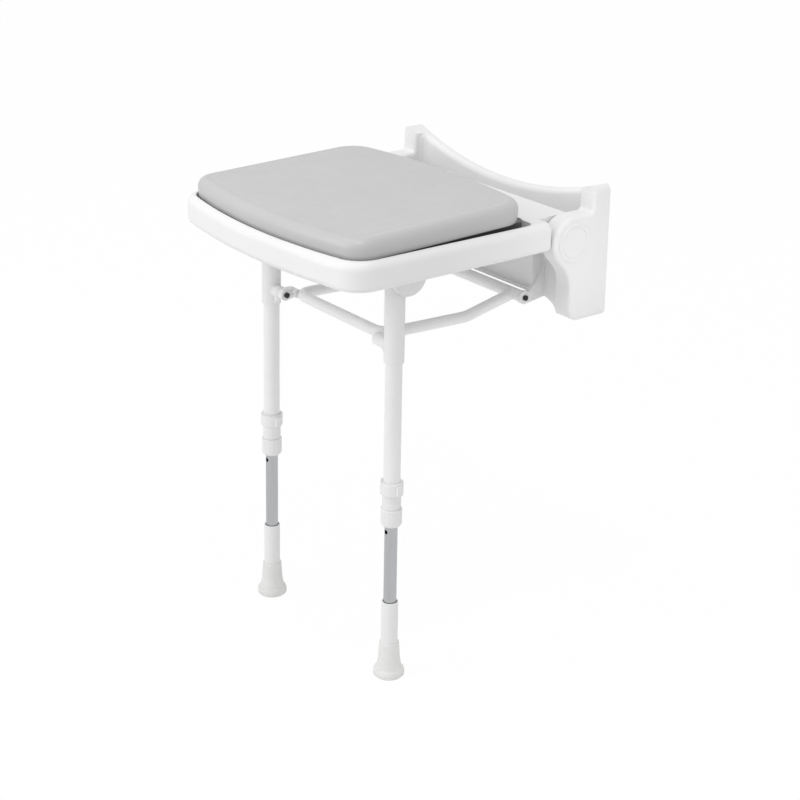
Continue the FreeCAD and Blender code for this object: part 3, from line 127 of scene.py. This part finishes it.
def angle(name, text, degrees):
    return FloatProperty(
        name=name, description=text, default=math.radians(degrees), unit="ROTATION"
    )


def colour(name, text, value):
    return FloatVectorProperty(
        name=name, description=text, default=value, size=3, min=0.0, max=1.0, subtype="COLOR"
    )


class WallSeatSizes(bpy.types.PropertyGroup):
    pad_half: length("Pad half width", "Half the width of the pad", 0.184)
    pad_front: length("Pad front", "Distance of the front of the pad from the wall", 0.415)
    pad_rear: length("Pad rear", "Distance of the rear of the pad from the wall", 0.109)
    pad_low: length("Pad underside", "Height of the underside at the front, over the frame", 0.048)
    pad_top: length("Pad top", "Height of the top at the front, over the frame", 0.076)
    pad_front_bow: length("Front bow", "Sagitta of the front of the pad", 0.022)
    pad_rear_bow: length("Rear bow", "Sagitta of the rear of the pad", 0.018)
    pad_front_corner: length("Front corner", "Radius of the front corners of the pad", 0.031)
    pad_rear_corner: length("Rear corner", "Radius of the rear corners of the pad", 0.042)
    pad_edge: length("Pad edge", "Radius of the rounded upper edge of the pad", 0.012)
    pad_undercut: length("Pad undercut", "How far the pad draws in at its underside", 0.0015)
    pad_crown: length("Pad crown", "Rise of the top of the pad at its middle", 0.0008)
    pad_crease: length("Pad crease", "Depth of the soft line inside the rounded edge", 0.0004)
    crease_width: length("Crease width", "Width of the soft line across its hollow", 0.010)
    pad_tilt: angle("Pad tilt", "Lean of the pad, higher at its rear", 1.6)
    foot_inset: length("Foot inset", "How far the foot of the pad stands in from its sides", 0.006)
    foot_rear: length("Foot rear", "Distance of the rear of the foot from the wall", 0.118)
    foot_corner: length("Foot corner", "Radius of the rear corners of the foot", 0.020)


class WallSeatColours(bpy.types.PropertyGroup):
    moulding: colour("White moulding", "Bracket, seat and cap mouldings", (0.785, 0.785, 0.785))
    pad: colour("Pad skin", "Smooth skin of the foam pad", (0.50, 0.50, 0.505))
    board: colour("Pad base", "Stiff board in the pad", (0.06, 0.06, 0.065))
    nylon: colour("Nylon", "Bushes, collets and studs", (0.70, 0.70, 0.67))
    coating: colour("Powder coat", "Coated legs and brace", (0.80, 0.80, 0.80))
    aluminium: colour("Bare aluminium", "Inner leg tubes", (0.53, 0.54, 0.55))
    zinc: colour("Zinc plate", "Pivot pins and bracket screws", (0.52, 0.53, 0.55))
    black: colour("Black oxide", "Link screws", (0.012, 0.012, 0.013))
    rubber: colour("White rubber", "Ferrules under the legs", (0.76, 0.76, 0.75))


# Materials

class Finish:
    """Node tree of one material, read in object coordinates so that it stays on its piece."""

    def __init__(self, name, base, roughness, metallic=0.0):
        self.material = bpy.data.materials.new(name)
        self.material.use_nodes = True
        self.material.diffuse_color = (*base, 1.0)
        self.tree = self.material.node_tree
        self.shader = self.tree.nodes["Principled BSDF"]
        self.shader.inputs["Metallic"].default_value = metallic
        self.base = base
        self.roughness = roughness
        self.place = self.add("ShaderNodeTexCoord").outputs["Object"]

    def add(self, kind, **values):
        node = self.tree.nodes.new(kind)
        for key, value in values.items():
            setattr(node, key, value)
        return node

    def link(self, source, target):
        self.tree.links.new(source, target)

    def stretched(self, scale):
        """Object coordinates with each axis multiplied by its own factor."""
        node = self.add("ShaderNodeMapping")
        node.inputs["Scale"].default_value = scale
        self.link(self.place, node.inputs["Vector"])
        return node.outputs["Vector"]

    def noise(self, scale, detail=2.0, vector=None):
        """Smooth noise with that many swells to the metre."""
        node = self.add("ShaderNodeTexNoise")
        node.inputs["Scale"].default_value = scale
        node.inputs["Detail"].default_value = detail
        self.link(vector or self.place, node.inputs["Vector"])
        return node.outputs["Fac"]

    def remap(self, source, low, high, start=0.3, end=0.7):
        """Straight line that takes the start to low and the end to high."""
        node = self.add("ShaderNodeMapRange")
        limits = {"From Min": start, "From Max": end, "To Min": low, "To Max": high}
        for key, value in limits.items():
            node.inputs[key].default_value = value
        self.link(source, node.inputs["Value"])
        return node.outputs["Result"]

    def tint(self, source, depth=0.0, shade=None):
        """Base colour that swings towards a shade as the source goes from 0.3 to 0.7.

        Without a shade of its own it is the base darkened by the depth."""
        mix = self.add("ShaderNodeMix", data_type="RGBA")
        shade = shade or tuple(channel * (1.0 - depth) for channel in self.base)
        mix.inputs[MIX_FIRST].default_value = (*self.base, 1.0)
        mix.inputs[MIX_SECOND].default_value = (*shade, 1.0)
        self.link(self.remap(source, 0.0, 1.0), mix.inputs[MIX_SHARE])
        self.link(mix.outputs[MIX_COLOUR], self.shader.inputs["Base Color"])
        return mix.outputs[MIX_COLOUR]

    def gloss(self, source, spread):
        """Roughness that varies by the spread either side of its middle."""
        result = self.remap(source, self.roughness - spread, self.roughness + spread)
        self.link(result, self.shader.inputs["Roughness"])

    def relief(self, sources):
        """Bump from pairs of a height source and its depth in metres, one on the other."""
        normal = None
        for source, depth in sources:
            bump = self.add("ShaderNodeBump")
            bump.inputs["Distance"].default_value = depth
            bump.inputs["Strength"].default_value = 1.0
            self.link(source, bump.inputs["Height"])
            if normal:
                self.link(normal, bump.inputs["Normal"])
            normal = bump.outputs["Normal"]
        self.link(normal, self.shader.inputs["Normal"])


def moulded_white(base):
    """Satin injection moulding: a fine spark texture, faint clouds and slightly uneven gloss."""
    finish = Finish("white_moulding", base, roughness=0.46)
    grain = finish.noise(scale=2600.0, detail=3.0)
    clouds = finish.noise(scale=9.0, detail=3.0)
    finish.tint(clouds, depth=0.02)
    finish.gloss(finish.noise(scale=35.0, detail=3.0), spread=0.04)
    finish.relief([(clouds, 0.0004), (grain, 0.000012)])
    finish.shader.inputs["Specular IOR Level"].default_value = 0.35
    return finish.material


def foam_skin(base):
    """Integral skin of a moulded foam pad: fine grain, slight mottling and a soft sheen.

    Where the share attribute is one, the skin takes the dark colour of the board. This is painted
    shade that darkens the gap round the foot of the pad."""
    finish = Finish("grey_pad", base, roughness=0.38)
    grain = finish.noise(scale=1500.0, detail=2.0)
    clouds = finish.noise(scale=14.0, detail=4.0)
    mottled = finish.tint(clouds, depth=0.03)
    # Painted shade: the foot, sole and shelf of the pad take the dark board colour, so the gap
    # between pad and rim reads as a dark shadow line
    base_share = finish.add("ShaderNodeAttribute", attribute_name="base_share")
    painted_shade = finish.add("ShaderNodeMix", data_type="RGBA")
    painted_shade.inputs[MIX_SECOND].default_value = (*bpy.context.scene.wall_seat_colours.board, 1.0)
    finish.link(base_share.outputs["Fac"], painted_shade.inputs[MIX_SHARE])
    finish.link(mottled, painted_shade.inputs[MIX_FIRST])
    finish.link(painted_shade.outputs[MIX_COLOUR], finish.shader.inputs["Base Color"])
    finish.gloss(finish.noise(scale=60.0, detail=3.0), spread=0.05)
    finish.relief([(clouds, 0.00015), (grain, 0.000004)])
    finish.shader.inputs["Specular IOR Level"].default_value = 0.5
    return finish.material


def plain_board(base):
    """Pressed plastic board with a coarse matt surface."""
    finish = Finish("board", base, roughness=0.7)
    finish.tint(finish.noise(scale=120.0, detail=5.0), depth=0.3)
    finish.relief([(finish.noise(scale=700.0, detail=4.0), 0.00008)])
    return finish.material


def natural_nylon(base):
    """Slightly translucent nylon with turning marks."""
    finish = Finish("nylon", base, roughness=0.45)
    finish.tint(finish.noise(scale=90.0, detail=3.0), depth=0.04)
    finish.gloss(finish.noise(scale=300.0, detail=2.0), spread=0.06)
    finish.relief([(finish.noise(scale=1200.0, detail=2.0), 0.00002)])
    finish.shader.inputs["Subsurface Weight"].default_value = 0.1
    finish.shader.inputs["Subsurface Scale"].default_value = 0.002
    return finish.material


def powder_coat(base):
    """Baked powder on steel: orange peel a millimetre or two across under a satin film."""
    finish = Finish("white_coated_steel", base, roughness=0.32)
    finish.tint(finish.noise(scale=25.0, detail=3.0), depth=0.02)
    finish.gloss(finish.noise(scale=70.0, detail=2.0), spread=0.04)
    peel = finish.noise(scale=650.0, detail=2.0)
    grain = finish.noise(scale=2500.0, detail=1.0)
    finish.relief([(peel, 0.00004), (grain, 0.00001)])
    finish.shader.inputs["Coat Weight"].default_value = 0.15
    finish.shader.inputs["Coat Roughness"].default_value = 0.2
    return finish.material


def drawn_aluminium(base):
    """Drawn and anodised tube: hair lines along its length, crossed by a few sliding marks."""
    finish = Finish("bare_aluminium", base, roughness=0.34, metallic=1.0)
    hair = finish.noise(scale=1.0, detail=4.0, vector=finish.stretched((2600.0, 2600.0, 22.0)))
    rubs = finish.noise(scale=1.0, detail=2.0, vector=finish.stretched((500.0, 500.0, 8.0)))
    finish.tint(hair, depth=0.16)
    finish.gloss(rubs, spread=0.09)
    finish.relief([(hair, 0.00001)])
    finish.shader.inputs["Anisotropic"].default_value = 0.4
    return finish.material


def zinc_plate(base):
    """Bright zinc with fine turning lines round X and a cloudy passivation."""
    finish = Finish("steel", base, roughness=0.3, metallic=1.0)
    finish.tint(finish.noise(scale=220.0, detail=3.0), shade=(0.50, 0.50, 0.44))
    finish.gloss(finish.noise(scale=400.0, detail=2.0), spread=0.08)
    lines = finish.noise(scale=1.0, detail=2.0, vector=finish.stretched((4000.0, 300.0, 300.0)))
    finish.relief([(lines, 0.00001)])
    return finish.material


def black_oxide(base):
    """Oiled black oxide on a screw, worn a little towards steel."""
    finish = Finish("dark_screw", base, roughness=0.35, metallic=0.6)
    finish.tint(finish.noise(scale=500.0, detail=4.0), shade=(0.05, 0.05, 0.05))
    finish.gloss(finish.noise(scale=600.0, detail=2.0), spread=0.1)
    finish.relief([(finish.noise(scale=1800.0, detail=2.0), 0.00001)])
    return finish.material


def white_rubber(base):
    """Matt rubber with a dusty bloom and a fine cast texture."""
    finish = Finish("white_rubber", base, roughness=0.62)
    finish.tint(finish.noise(scale=60.0, detail=5.0), depth=0.05)
    finish.gloss(finish.noise(scale=200.0, detail=2.0), spread=0.06)
    finish.relief([(finish.noise(scale=1100.0, detail=3.0), 0.00004)])
    return finish.material


FINISHES = {
    "white_moulding": (moulded_white, "moulding"),
    "grey_pad": (foam_skin, "pad"),
    "board": (plain_board, "board"),
    "nylon": (natural_nylon, "nylon"),
    "white_coated_steel": (powder_coat, "coating"),
    "bare_aluminium": (drawn_aluminium, "aluminium"),
    "steel": (zinc_plate, "zinc"),
    "dark_screw": (black_oxide, "black"),
    "white_rubber": (white_rubber, "rubber"),
}


def finish_of(slot_name):
    """Material of a slot, made once."""
    found = bpy.data.materials.get("finish_" + slot_name)
    if found:
        return found
    maker, colour_name = FINISHES[slot_name]
    base = tuple(getattr(bpy.context.scene.wall_seat_colours, colour_name))
    material = maker(base)
    material.name = "finish_" + slot_name
    return material


# Surfaces

def surface(name, points, faces, slot_name, body):
    """Object of smooth faces that rides on a body and takes the finish of a slot."""
    mesh = bpy.data.meshes.new(name)
    mesh.from_pydata(points.tolist(), [], faces)
    mesh.polygons.foreach_set("use_smooth", np.ones(len(mesh.polygons), bool))
    mesh.update()
    piece = bpy.data.objects.new(name, mesh)
    bpy.context.scene.collection.objects.link(piece)
    piece.data.materials.append(finish_of(slot_name))
    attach(piece, body)
    return piece


def ring_faces(rings, columns):
    """Quads between rings of the same count, closed by a fan to a point at either end.

    Vertex order is all the rings, then the start point, then the end point."""
    here = np.arange(columns)
    after = (here + 1) % columns
    row = np.arange(rings - 1)[:, None] * columns
    quads = np.stack([row + here, row + after, row + columns + after, row + columns + here], -1)
    last = (rings - 1) * columns
    start_point = np.full(columns, rings * columns)
    start_fan = np.stack([after, here, start_point], -1)
    end_fan = np.stack([last + here, last + after, start_point + 1], -1)
    return quads.reshape(-1, 4).tolist() + start_fan.tolist() + end_fan.tolist()


def arc(centre_x, centre_y, radius, start, end, count):
    """Points on a circle, from the start angle to just before the end angle."""
    turn = start + (end - start) * np.arange(count) / count
    return np.stack([centre_x + radius * np.cos(turn), centre_y + radius * np.sin(turn)], -1)


def straight(start, end, count):
    """Points from the start to just before the end of a straight run."""
    share = np.arange(count)[:, None] / count
    return np.asarray(start) + share * (np.asarray(end) - np.asarray(start))


def bowed_end(half, tip, bow, corner, inset, way):
    """Centre and radius of the end arc, centre and radius of the right corner arc, and half
    the angle that the end arc spans.

    The way is 1 for the front and -1 for the rear. The end is one arc whose sagitta over the
    full width is the bow, and the corner arc touches both that arc and the straight side."""
    bend = (half * half + bow * bow) / (2 * bow)
    centre_y = tip + way * bend
    corner_x = half - corner
    corner_y = centre_y - way * math.sqrt((bend - corner) ** 2 - corner_x ** 2)
    lean = math.atan2(corner_x, way * (centre_y - corner_y))
    return centre_y, bend - inset, corner_x, corner_y, corner - inset, lean


def outline(half, front, rear, inset):
    """Closed outline, anticlockwise from above, that starts at the left end of the front arc.

    Front and rear are (tip, bow, corner radius). A rear without bow is straight. Each run has
    a fixed count of points, so that all outlines match point for point."""
    quarter = math.pi / 2
    front_tip, front_bow, front_corner = front
    centre_y, bend, corner_x, corner_y, corner, lean = bowed_end(
        half, front_tip, front_bow, front_corner, inset, 1
    )
    runs = [
        arc(0, centre_y, bend, -quarter - lean, -quarter + lean, FRONT_POINTS),
        arc(corner_x, corner_y, corner, -quarter + lean, 0, FRONT_CORNER_POINTS),
    ]
    rear_tip, rear_bow, rear_corner = rear
    if rear_bow > 0:
        back_y, back_bend, back_x, back_corner_y, back_corner, back_lean = bowed_end(
            half, rear_tip, rear_bow, rear_corner, inset, -1
        )
    else:
        back_x = half - rear_corner
        back_corner_y = rear_tip - rear_corner
        back_corner = rear_corner - inset
        back_lean = 0.0
    side = half - inset
    runs += [
        straight((side, corner_y), (side, back_corner_y), SIDE_POINTS),
        arc(back_x, back_corner_y, back_corner, 0, quarter - back_lean, REAR_CORNER_POINTS),
    ]
    if rear_bow > 0:
        bow_end = quarter + back_lean
        runs.append(arc(0, back_y, back_bend, quarter - back_lean, bow_end, REAR_POINTS))
    else:
        back = back_corner_y + back_corner
        runs.append(straight((back_x, back), (-back_x, back), REAR_POINTS))
    runs += [
        arc(
            -back_x, back_corner_y, back_corner, quarter + back_lean, 2 * quarter,
            REAR_CORNER_POINTS,
        ),
        straight((-side, back_corner_y), (-side, corner_y), SIDE_POINTS),
        arc(
            -corner_x, corner_y, corner, 2 * quarter, 3 * quarter - lean,
            FRONT_CORNER_POINTS,
        ),
    ]
    return np.concatenate(runs)


def level_ring(points, level):
    """Outline lifted to one height."""
    return np.column_stack([points, np.full(len(points), level)])


def shares(count):
    """That many even steps from 0 to 1, without the 0, as factors for whole rings."""
    return np.linspace(0.0, 1.0, count + 1)[1:, None, None]


class WALLSEAT_OT_pad(bpy.types.Operator):
    """Makes the foam pad as one closed moulded form"""
    bl_idname = "wall_seat.pad"
    bl_label = "Seat pad"

    def execute(self, context):
        """The sole, foot, shelf and body are rings on matching outlines, point for point. The
        shelf goes in even steps from the rim of the foot to the leaning underside, and the
        form closes in a point at the middle of the sole and of the top."""
        sizes = context.scene.wall_seat_sizes
        middle = np.array([0.0, -(sizes.pad_front + sizes.pad_rear) / 2, 0.0])
        sole_middle = middle + [0, 0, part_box("seat_pad")[0].z]
        body = self.body_rings(sizes)
        upper = self.leaned(sizes, np.concatenate([body, self.top_rings(sizes, body[-1], middle)]))
        lower = self.foot_rings(sizes, sole_middle)
        shelf = lower[-1] + (upper[0] - lower[-1]) * shares(SHELF_RINGS + 1)[:-1]
        rings = np.concatenate([lower, shelf, upper])
        peak = self.leaned(sizes, middle + [0, 0, sizes.pad_top])
        points = np.concatenate([rings.reshape(-1, 3), np.stack([sole_middle, peak])])
        count, columns = rings.shape[:2]
        pad = surface("seat_pad_skin", points, ring_faces(count, columns), "grey_pad", "seat")
        # The sole, foot and shelf rings get a share of one: painted shade that makes the gap round
        # the pad dark
        base_share = np.zeros(len(points), np.float32)
        base_share[:(len(lower) + len(shelf) + 1) * columns] = 1.0
        base_share[count * columns] = 1.0
        painted_shade = pad.data.attributes.new("base_share", "FLOAT", "POINT")
        painted_shade.data.foreach_set("value", base_share)
        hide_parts("seat_pad")
        return {"FINISHED"}

    def foot_rings(self, sizes, sole_middle):
        """The sole grows evenly from its middle to the foot's outline, and the foot goes
        straight up from there to the leaning underside, as high as its slope at each point."""
        rear = (-sizes.foot_rear, 0.0, sizes.foot_corner)
        foot = outline(sizes.pad_half, self.front(sizes), rear, sizes.foot_inset)
        low = level_ring(foot, sole_middle[2])
        underside = sizes.pad_low + (foot[:, 1] + sizes.pad_front) * math.tan(sizes.pad_tilt)
        high = np.column_stack([foot, underside])
        sole = sole_middle + (low - sole_middle) * shares(SOLE_RINGS + 1)[:-1]
        wall = low + (high - low) * shares(FOOT_RINGS - 1)
        return np.concatenate([sole, low[None], wall])

    def body_rings(self, sizes):
        """Rings whose inset and height run up a side that swells by the undercut as a sine,
        round the edge on a quarter circle, and over the crease, a squared sine."""
        top = sizes.pad_top - sizes.pad_crown
        side_top = top - sizes.pad_edge
        rise = np.linspace(0.0, 1.0, SIDE_RINGS)
        turn = np.linspace(0.0, math.pi / 2, EDGE_RINGS + 1)[1:]
        run = np.linspace(0.0, 1.0, CREASE_RINGS + 1)[1:]
        insets = np.concatenate([
            sizes.pad_undercut * (1.0 - np.sin(rise * math.pi / 2)),
            sizes.pad_edge * (1.0 - np.cos(turn)),
            sizes.pad_edge + sizes.crease_width * run,
        ])
        heights = np.concatenate([
            sizes.pad_low + (side_top - sizes.pad_low) * rise,
            side_top + sizes.pad_edge * np.sin(turn),
            top - sizes.pad_crease * np.sin(run * math.pi) ** 2,
        ])
        rear = (-sizes.pad_rear, sizes.pad_rear_bow, sizes.pad_rear_corner)
        return np.stack([
            level_ring(outline(sizes.pad_half, self.front(sizes), rear, inset), height)
            for inset, height in zip(insets, heights)
        ])

    def top_rings(self, sizes, rim, middle):
        """Rings that shrink evenly from the rim to the middle. The rise of the crown goes with
        one less the square of the shrunk share."""
        shrink = np.linspace(1.0, 0.0, TOP_RINGS + 2)[1:-1]
        rings = middle + (rim - middle) * shrink[:, None, None]
        level = sizes.pad_top - sizes.pad_crown + sizes.pad_crown * (1.0 - shrink ** 2)
        rings[..., 2] = level[:, None]
        return rings

    def front(self, sizes):
        """Tip, bow and corner radius of the front of the pad."""
        return -sizes.pad_front, sizes.pad_front_bow, sizes.pad_front_corner

    def leaned(self, sizes, points):
        """Points turned about X by the tilt, about the front of the underside."""
        pivot = np.array([0.0, -sizes.pad_front, sizes.pad_low])
        cosine = math.cos(sizes.pad_tilt)
        sine = math.sin(sizes.pad_tilt)
        turn = np.array([[1, 0, 0], [0, cosine, -sine], [0, sine, cosine]])
        return (points - pivot) @ turn.T + pivot


def slots_by_node():
    """Slot of each node, from groups of like pieces."""
    groups = {
        "white_moulding": ["wall_bracket", "seat_frame", "screw_covers"],
        "board": ["pad_base"],
        "nylon": ["pad_studs"],
        "grey_pad": ["seat_pad"],
        "white_coated_steel": ["brace_front_tube", "brace_rear_tube"],
        "dark_screw": ["gusset_screws"],
        "steel": ["bracket_screws"],
    }
    sided = {
        "white_moulding": ["hinge_cap", "gland_nut", "gland_body", "foot_sleeve", "leg_head"],
        "white_coated_steel": ["leg_bracket", "leg_tube", "brace_strut", "brace_lug"],
        "steel": ["hinge_pin", "leg_pivot_pin"],
        "dark_screw": ["link_screw"],
        "nylon": ["hinge_bush", "brace_bush", "gland_collet"],
        "bare_aluminium": ["foot_tube"],
        "white_rubber": ["foot_ferrule", "foot_tube_plug"],
    }
    for slot_name, names in sided.items():
        groups.setdefault(slot_name, [])
        groups[slot_name] += [f"{name}_{side}" for name in names for side in ("right", "left")]
    return {name: slot_name for slot_name, names in groups.items() for name in names}


SLOT_OF = slots_by_node()


class WALLSEAT_OT_finishes(bpy.types.Operator):
    """Gives each solid of the frame the finish of its own slot"""
    bl_idname = "wall_seat.finishes"
    bl_label = "Finishes"

    def execute(self, context):
        for name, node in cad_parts.items():
            slot_name = SLOT_OF.get(name)
            if slot_name is None:
                raise RuntimeError("no finish is named for " + name)
            node.data.materials.clear()
            node.data.materials.append(finish_of(slot_name))
        return {"FINISHED"}


# Studio

def background_rays(tree):
    """One for the rays that show the background: to the eye, in gloss and through glass."""
    path = tree.nodes.new("ShaderNodeLightPath")
    total = path.outputs["Is Camera Ray"]
    for kind in ("Is Glossy Ray", "Is Transmission Ray"):
        joined = tree.nodes.new("ShaderNodeMath")
        joined.operation = "MAXIMUM"
        tree.links.new(total, joined.inputs[0])
        tree.links.new(path.outputs[kind], joined.inputs[1])
        total = joined.outputs[0]
    return total


class WALLSEAT_OT_studio(bpy.types.Operator):
    """Sets the floor, the white surround, the soft lamps and the camera"""
    bl_idname = "wall_seat.studio"
    bl_label = "Studio"

    def execute(self, context):
        scene = context.scene
        scene.view_settings.view_transform = "Standard"
        lowest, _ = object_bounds()
        self.floor(scene, lowest.z)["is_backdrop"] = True
        self.surround(scene)
        for row in LAMPS:
            self.lamp(scene, *row)
        self.camera(scene)
        return {"FINISHED"}

    def floor(self, scene, level):
        """Square sheet under the feet that stays white to the eye and keeps a soft shadow."""
        corners = np.array([[-1, -1, 0], [1, -1, 0], [1, 1, 0], [-1, 1, 0]]) * FLOOR_REACH
        mesh = bpy.data.meshes.new("studio_floor")
        mesh.from_pydata((corners + [0, 0, level]).tolist(), [], [(0, 1, 2, 3)])
        floor = bpy.data.objects.new("studio_floor", mesh)
        scene.collection.objects.link(floor)
        material = bpy.data.materials.new("floor_white")
        material.use_nodes = True
        tree = material.node_tree
        shader = tree.nodes["Principled BSDF"]
        shader.inputs["Base Color"].default_value = (*FLOOR_COLOUR, 1.0)
        shader.inputs["Roughness"].default_value = FLOOR_ROUGHNESS
        glow = tree.nodes.new("ShaderNodeEmission")
        glow.inputs["Strength"].default_value = 1.0
        share = tree.nodes.new("ShaderNodeMath")
        share.operation = "MULTIPLY"
        share.inputs[1].default_value = FLOOR_GLOW
        mix = tree.nodes.new("ShaderNodeMixShader")
        tree.links.new(background_rays(tree), share.inputs[0])
        tree.links.new(share.outputs[0], mix.inputs[0])
        tree.links.new(shader.outputs[0], mix.inputs[1])
        tree.links.new(glow.outputs[0], mix.inputs[2])
        tree.links.new(mix.outputs[0], tree.nodes["Material Output"].inputs["Surface"])
        mesh.materials.append(material)
        return floor

    def surround(self, scene):
        """World that lights softly, and is white to the eye and in reflections."""
        world = bpy.data.worlds.new("studio_surround")
        world.use_nodes = True
        scene.world = world
        tree = world.node_tree
        light = tree.nodes["Background"]
        light.inputs["Color"].default_value = (1.0, 1.0, 1.0, 1.0)
        light.inputs["Strength"].default_value = SURROUND_LIGHT
        seen = tree.nodes.new("ShaderNodeBackground")
        seen.inputs["Strength"].default_value = 1.0
        mix = tree.nodes.new("ShaderNodeMixShader")
        tree.links.new(background_rays(tree), mix.inputs[0])
        tree.links.new(light.outputs[0], mix.inputs[1])
        tree.links.new(seen.outputs[0], mix.inputs[2])
        tree.links.new(mix.outputs[0], tree.nodes["World Output"].inputs["Surface"])

    def lamp(self, scene, name, place, aim, side, power, spread):
        """Square soft lamp that faces its aim, with its spread in degrees."""
        light = bpy.data.lights.new(name, "AREA")
        light.shape = "SQUARE"
        light.size = side
        light.energy = power
        light.spread = math.radians(spread)
        lamp = bpy.data.objects.new(name, light)
        scene.collection.objects.link(lamp)
        lamp.visible_camera = False
        lamp.location = place
        lamp.rotation_euler = (Vector(aim) - Vector(place)).to_track_quat("-Z", "Y").to_euler()

    def camera(self, scene):
        """Camera at the photograph's angle, from its turn, height, roll and distance."""
        turn, tilt, roll = (math.radians(degrees) for degrees in CAMERA_ANGLES)
        ahead = Vector((
            -math.sin(turn) * math.cos(tilt), math.cos(turn) * math.cos(tilt), -math.sin(tilt)
        ))
        right = Vector((math.cos(turn), math.sin(turn), 0.0))
        up = right.cross(ahead)
        right_rolled = right * math.cos(roll) + up * math.sin(roll)
        up_rolled = up * math.cos(roll) - right * math.sin(roll)
        place = Vector(CAMERA_TARGET) - ahead * CAMERA_DISTANCE
        data = bpy.data.cameras.new("photo_camera")
        data.sensor_width = SENSOR_WIDTH
        data.lens = FOCAL_PIXELS / PHOTO_SIDE * SENSOR_WIDTH
        data.shift_x = 0.5 - OPTICAL_CENTRE[0] / PHOTO_SIDE
        data.shift_y = OPTICAL_CENTRE[1] / PHOTO_SIDE - 0.5
        data.clip_end = FARTHEST_SEEN
        camera = bpy.data.objects.new("photo_camera", data)
        scene.collection.objects.link(camera)
        turned = Matrix((right_rolled, up_rolled, -ahead)).transposed().to_4x4()
        camera.matrix_world = Matrix.Translation(place) @ turned
        scene.camera = camera


OPERATORS = [WALLSEAT_OT_studio, WALLSEAT_OT_finishes, WALLSEAT_OT_pad]


class WALLSEAT_PT_panel(bpy.types.Panel):
    """Lists the makers of the wall seat in order"""
    bl_idname = "WALLSEAT_PT_panel"
    bl_label = "Wall Seat"
    bl_space_type = "VIEW_3D"
    bl_region_type = "UI"
    bl_category = "Wall Seat"

    def draw(self, context):
        scene = context.scene
        for group in (scene.wall_seat_sizes, scene.wall_seat_colours):
            for key in group.__annotations__:
                self.layout.prop(group, key)
        for maker in OPERATORS:
            self.layout.operator(maker.bl_idname)


CLASSES = [WallSeatSizes, WallSeatColours, *OPERATORS, WALLSEAT_PT_panel]


def register():
    for item in CLASSES:
        bpy.utils.register_class(item)
    bpy.types.Scene.wall_seat_sizes = PointerProperty(type=WallSeatSizes)
    bpy.types.Scene.wall_seat_colours = PointerProperty(type=WallSeatColours)


def unregister():
    del bpy.types.Scene.wall_seat_colours
    del bpy.types.Scene.wall_seat_sizes
    for item in reversed(CLASSES):
        bpy.utils.unregister_class(item)


def main():
    register()
    bpy.ops.wall_seat.studio()
    bpy.ops.wall_seat.finishes()
    bpy.ops.wall_seat.pad()


if __name__ == "__main__":
    main()
